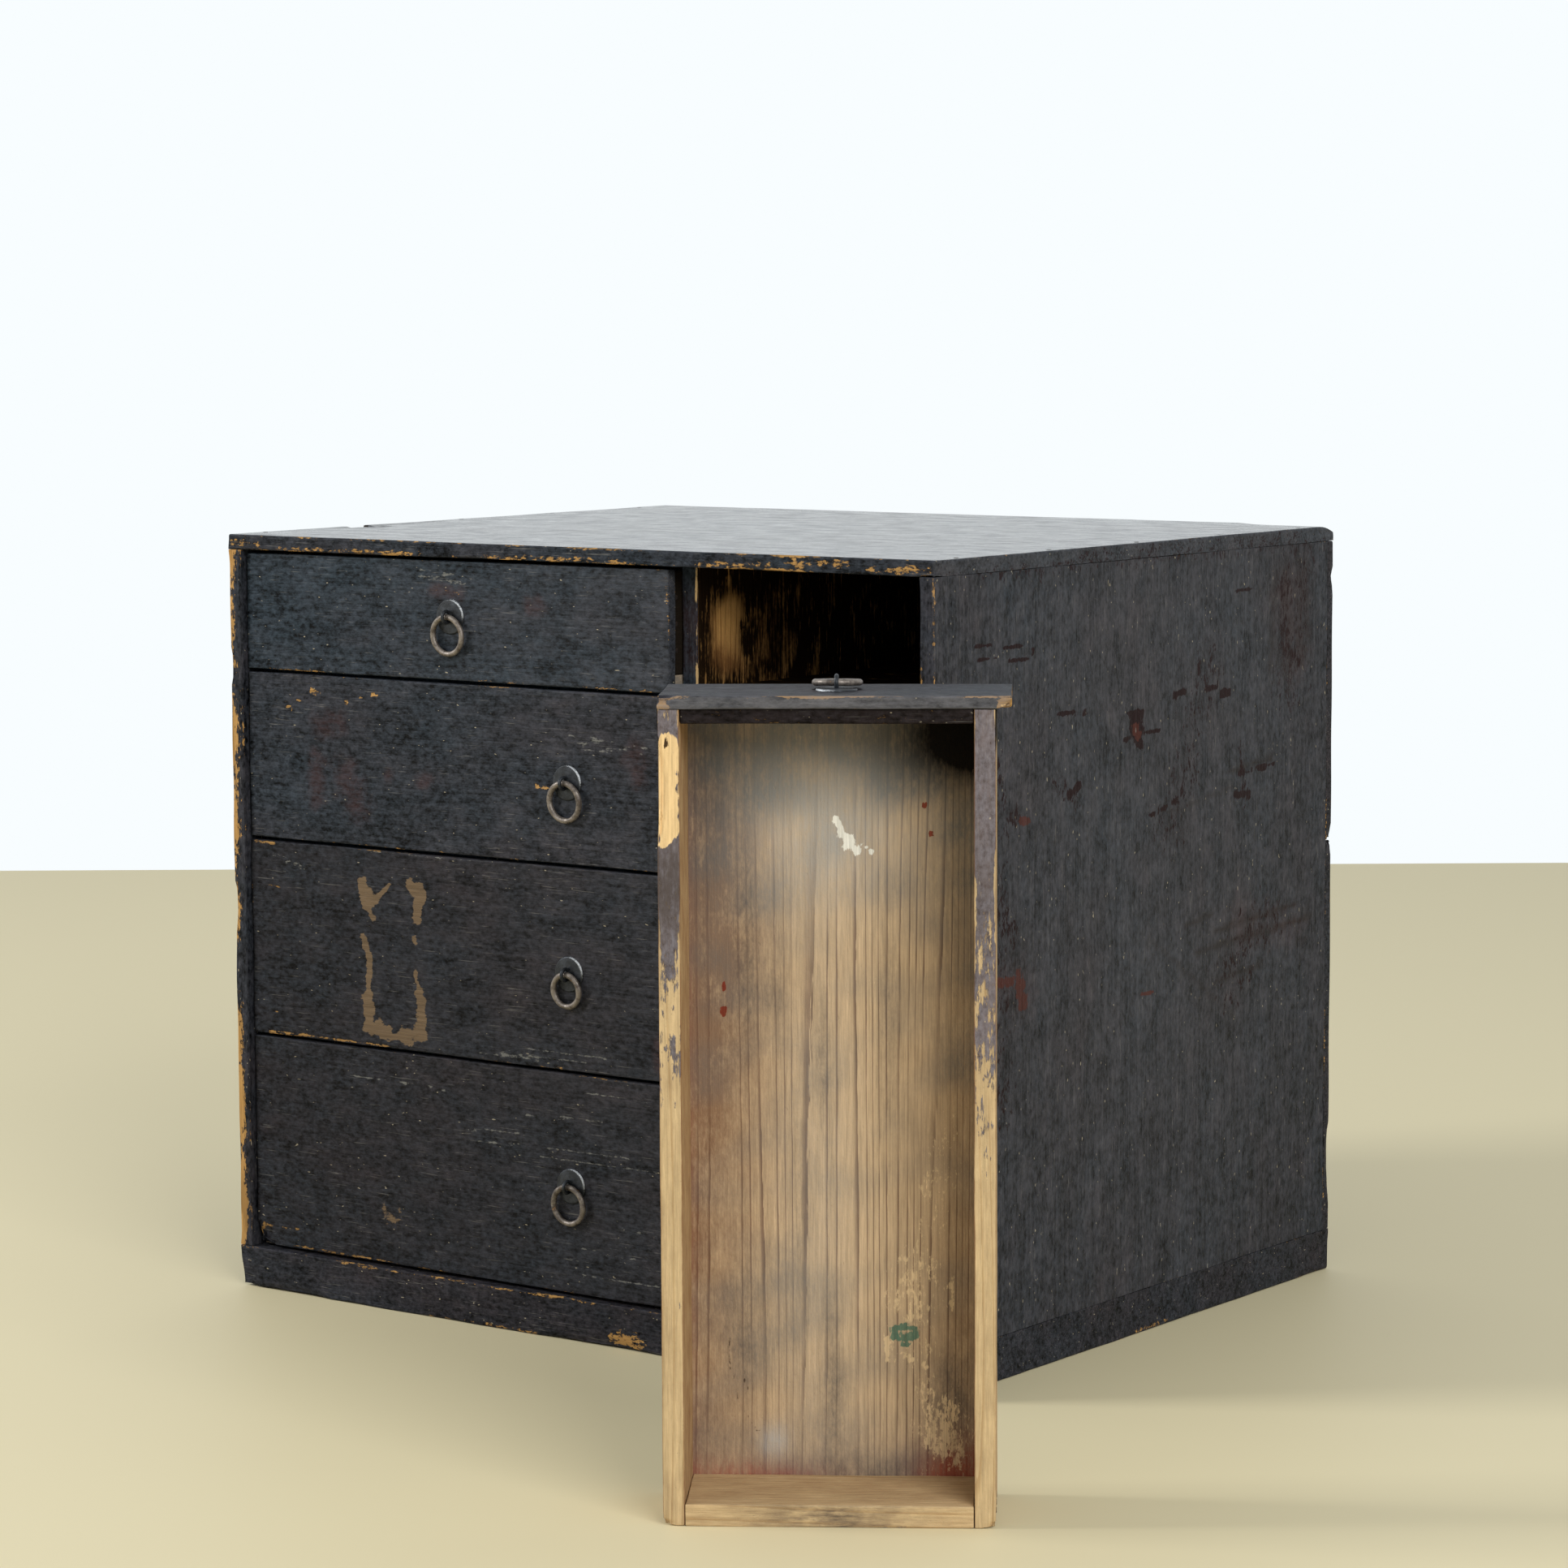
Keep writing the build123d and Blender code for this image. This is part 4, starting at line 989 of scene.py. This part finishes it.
# Half the width of the ground, and how far behind the middle of the chest it ends
GROUND_HALF, GROUND_END = 4, 1.75
sight = Matrix.Rotation(CAMERA_TURN, 3, "Z")
ground_mesh = bpy.data.meshes.new("ground")
ground_corners = [sight @ Vector((x, y, 0)) for x, y in (
    (-GROUND_HALF, -GROUND_HALF), (GROUND_HALF, -GROUND_HALF),
    (GROUND_HALF, GROUND_END), (-GROUND_HALF, GROUND_END))]
ground_mesh.from_pydata(ground_corners, [], [(0, 1, 2, 3)])
ground = bpy.data.objects.new("ground", ground_mesh)
bpy.context.scene.collection.objects.link(ground)
pale_floor, floor_tree = blank_material("pale_floor")
floor_surface = add(floor_tree, "BsdfPrincipled", {"Base Color": linear("#ddd1ab"), "Roughness": 0.6})
add(floor_tree, "OutputMaterial", {"Surface": floor_surface})
ground_mesh.materials.append(pale_floor)

world = bpy.data.worlds.new("white_room")
bpy.context.scene.world = world
world.use_nodes = True
tree = world.node_tree
tree.nodes.clear()
seen = 0.0
for ray in ("Is Camera Ray", "Is Glossy Ray", "Is Transmission Ray"):
    seen = add(tree, "Math", {0: add(tree, "LightPath", {}, ray), 1: seen}, operation="MAXIMUM")
level = add(tree, "MapRange", {"Value": seen, "To Min": 0.5, "To Max": 1.0})
air = add(tree, "Background", {"Color": linear("#f8fdff"), "Strength": level})
add(tree, "OutputWorld", {"Surface": air})

LAMPS = (("window", (-2.2, -2.0, 1.7), 0.8, 58), ("fill", (3.1, -1.8, 2.0), 2.0, 84))
for lamp_name, lamp_place, lamp_size, lamp_power in LAMPS:
    light = bpy.data.lights.new(lamp_name, "AREA")
    light.size = lamp_size
    light.energy = lamp_power
    lamp = bpy.data.objects.new(lamp_name, light)
    lamp.location = lamp_place
    lamp.rotation_euler = (Vector((0, 0, 0.2)) - lamp.location).to_track_quat("-Z", "Y").to_euler()
    bpy.context.scene.collection.objects.link(lamp)

view = bpy.data.cameras.new("camera")
view.sensor_width = 36
view.lens = CAMERA_LENS
camera = bpy.data.objects.new("camera", view)
turn = Matrix.Rotation(CAMERA_TURN, 4, "Z") @ Matrix.Rotation(radians(90) - CAMERA_PITCH, 4, "X")
camera.matrix_world = Matrix.Translation(CAMERA_PLACE) @ turn @ Matrix.Rotation(CAMERA_ROLL, 4, "Z")
bpy.context.scene.collection.objects.link(camera)
bpy.context.scene.camera = camera
bpy.context.scene.view_settings.view_transform = "Standard"
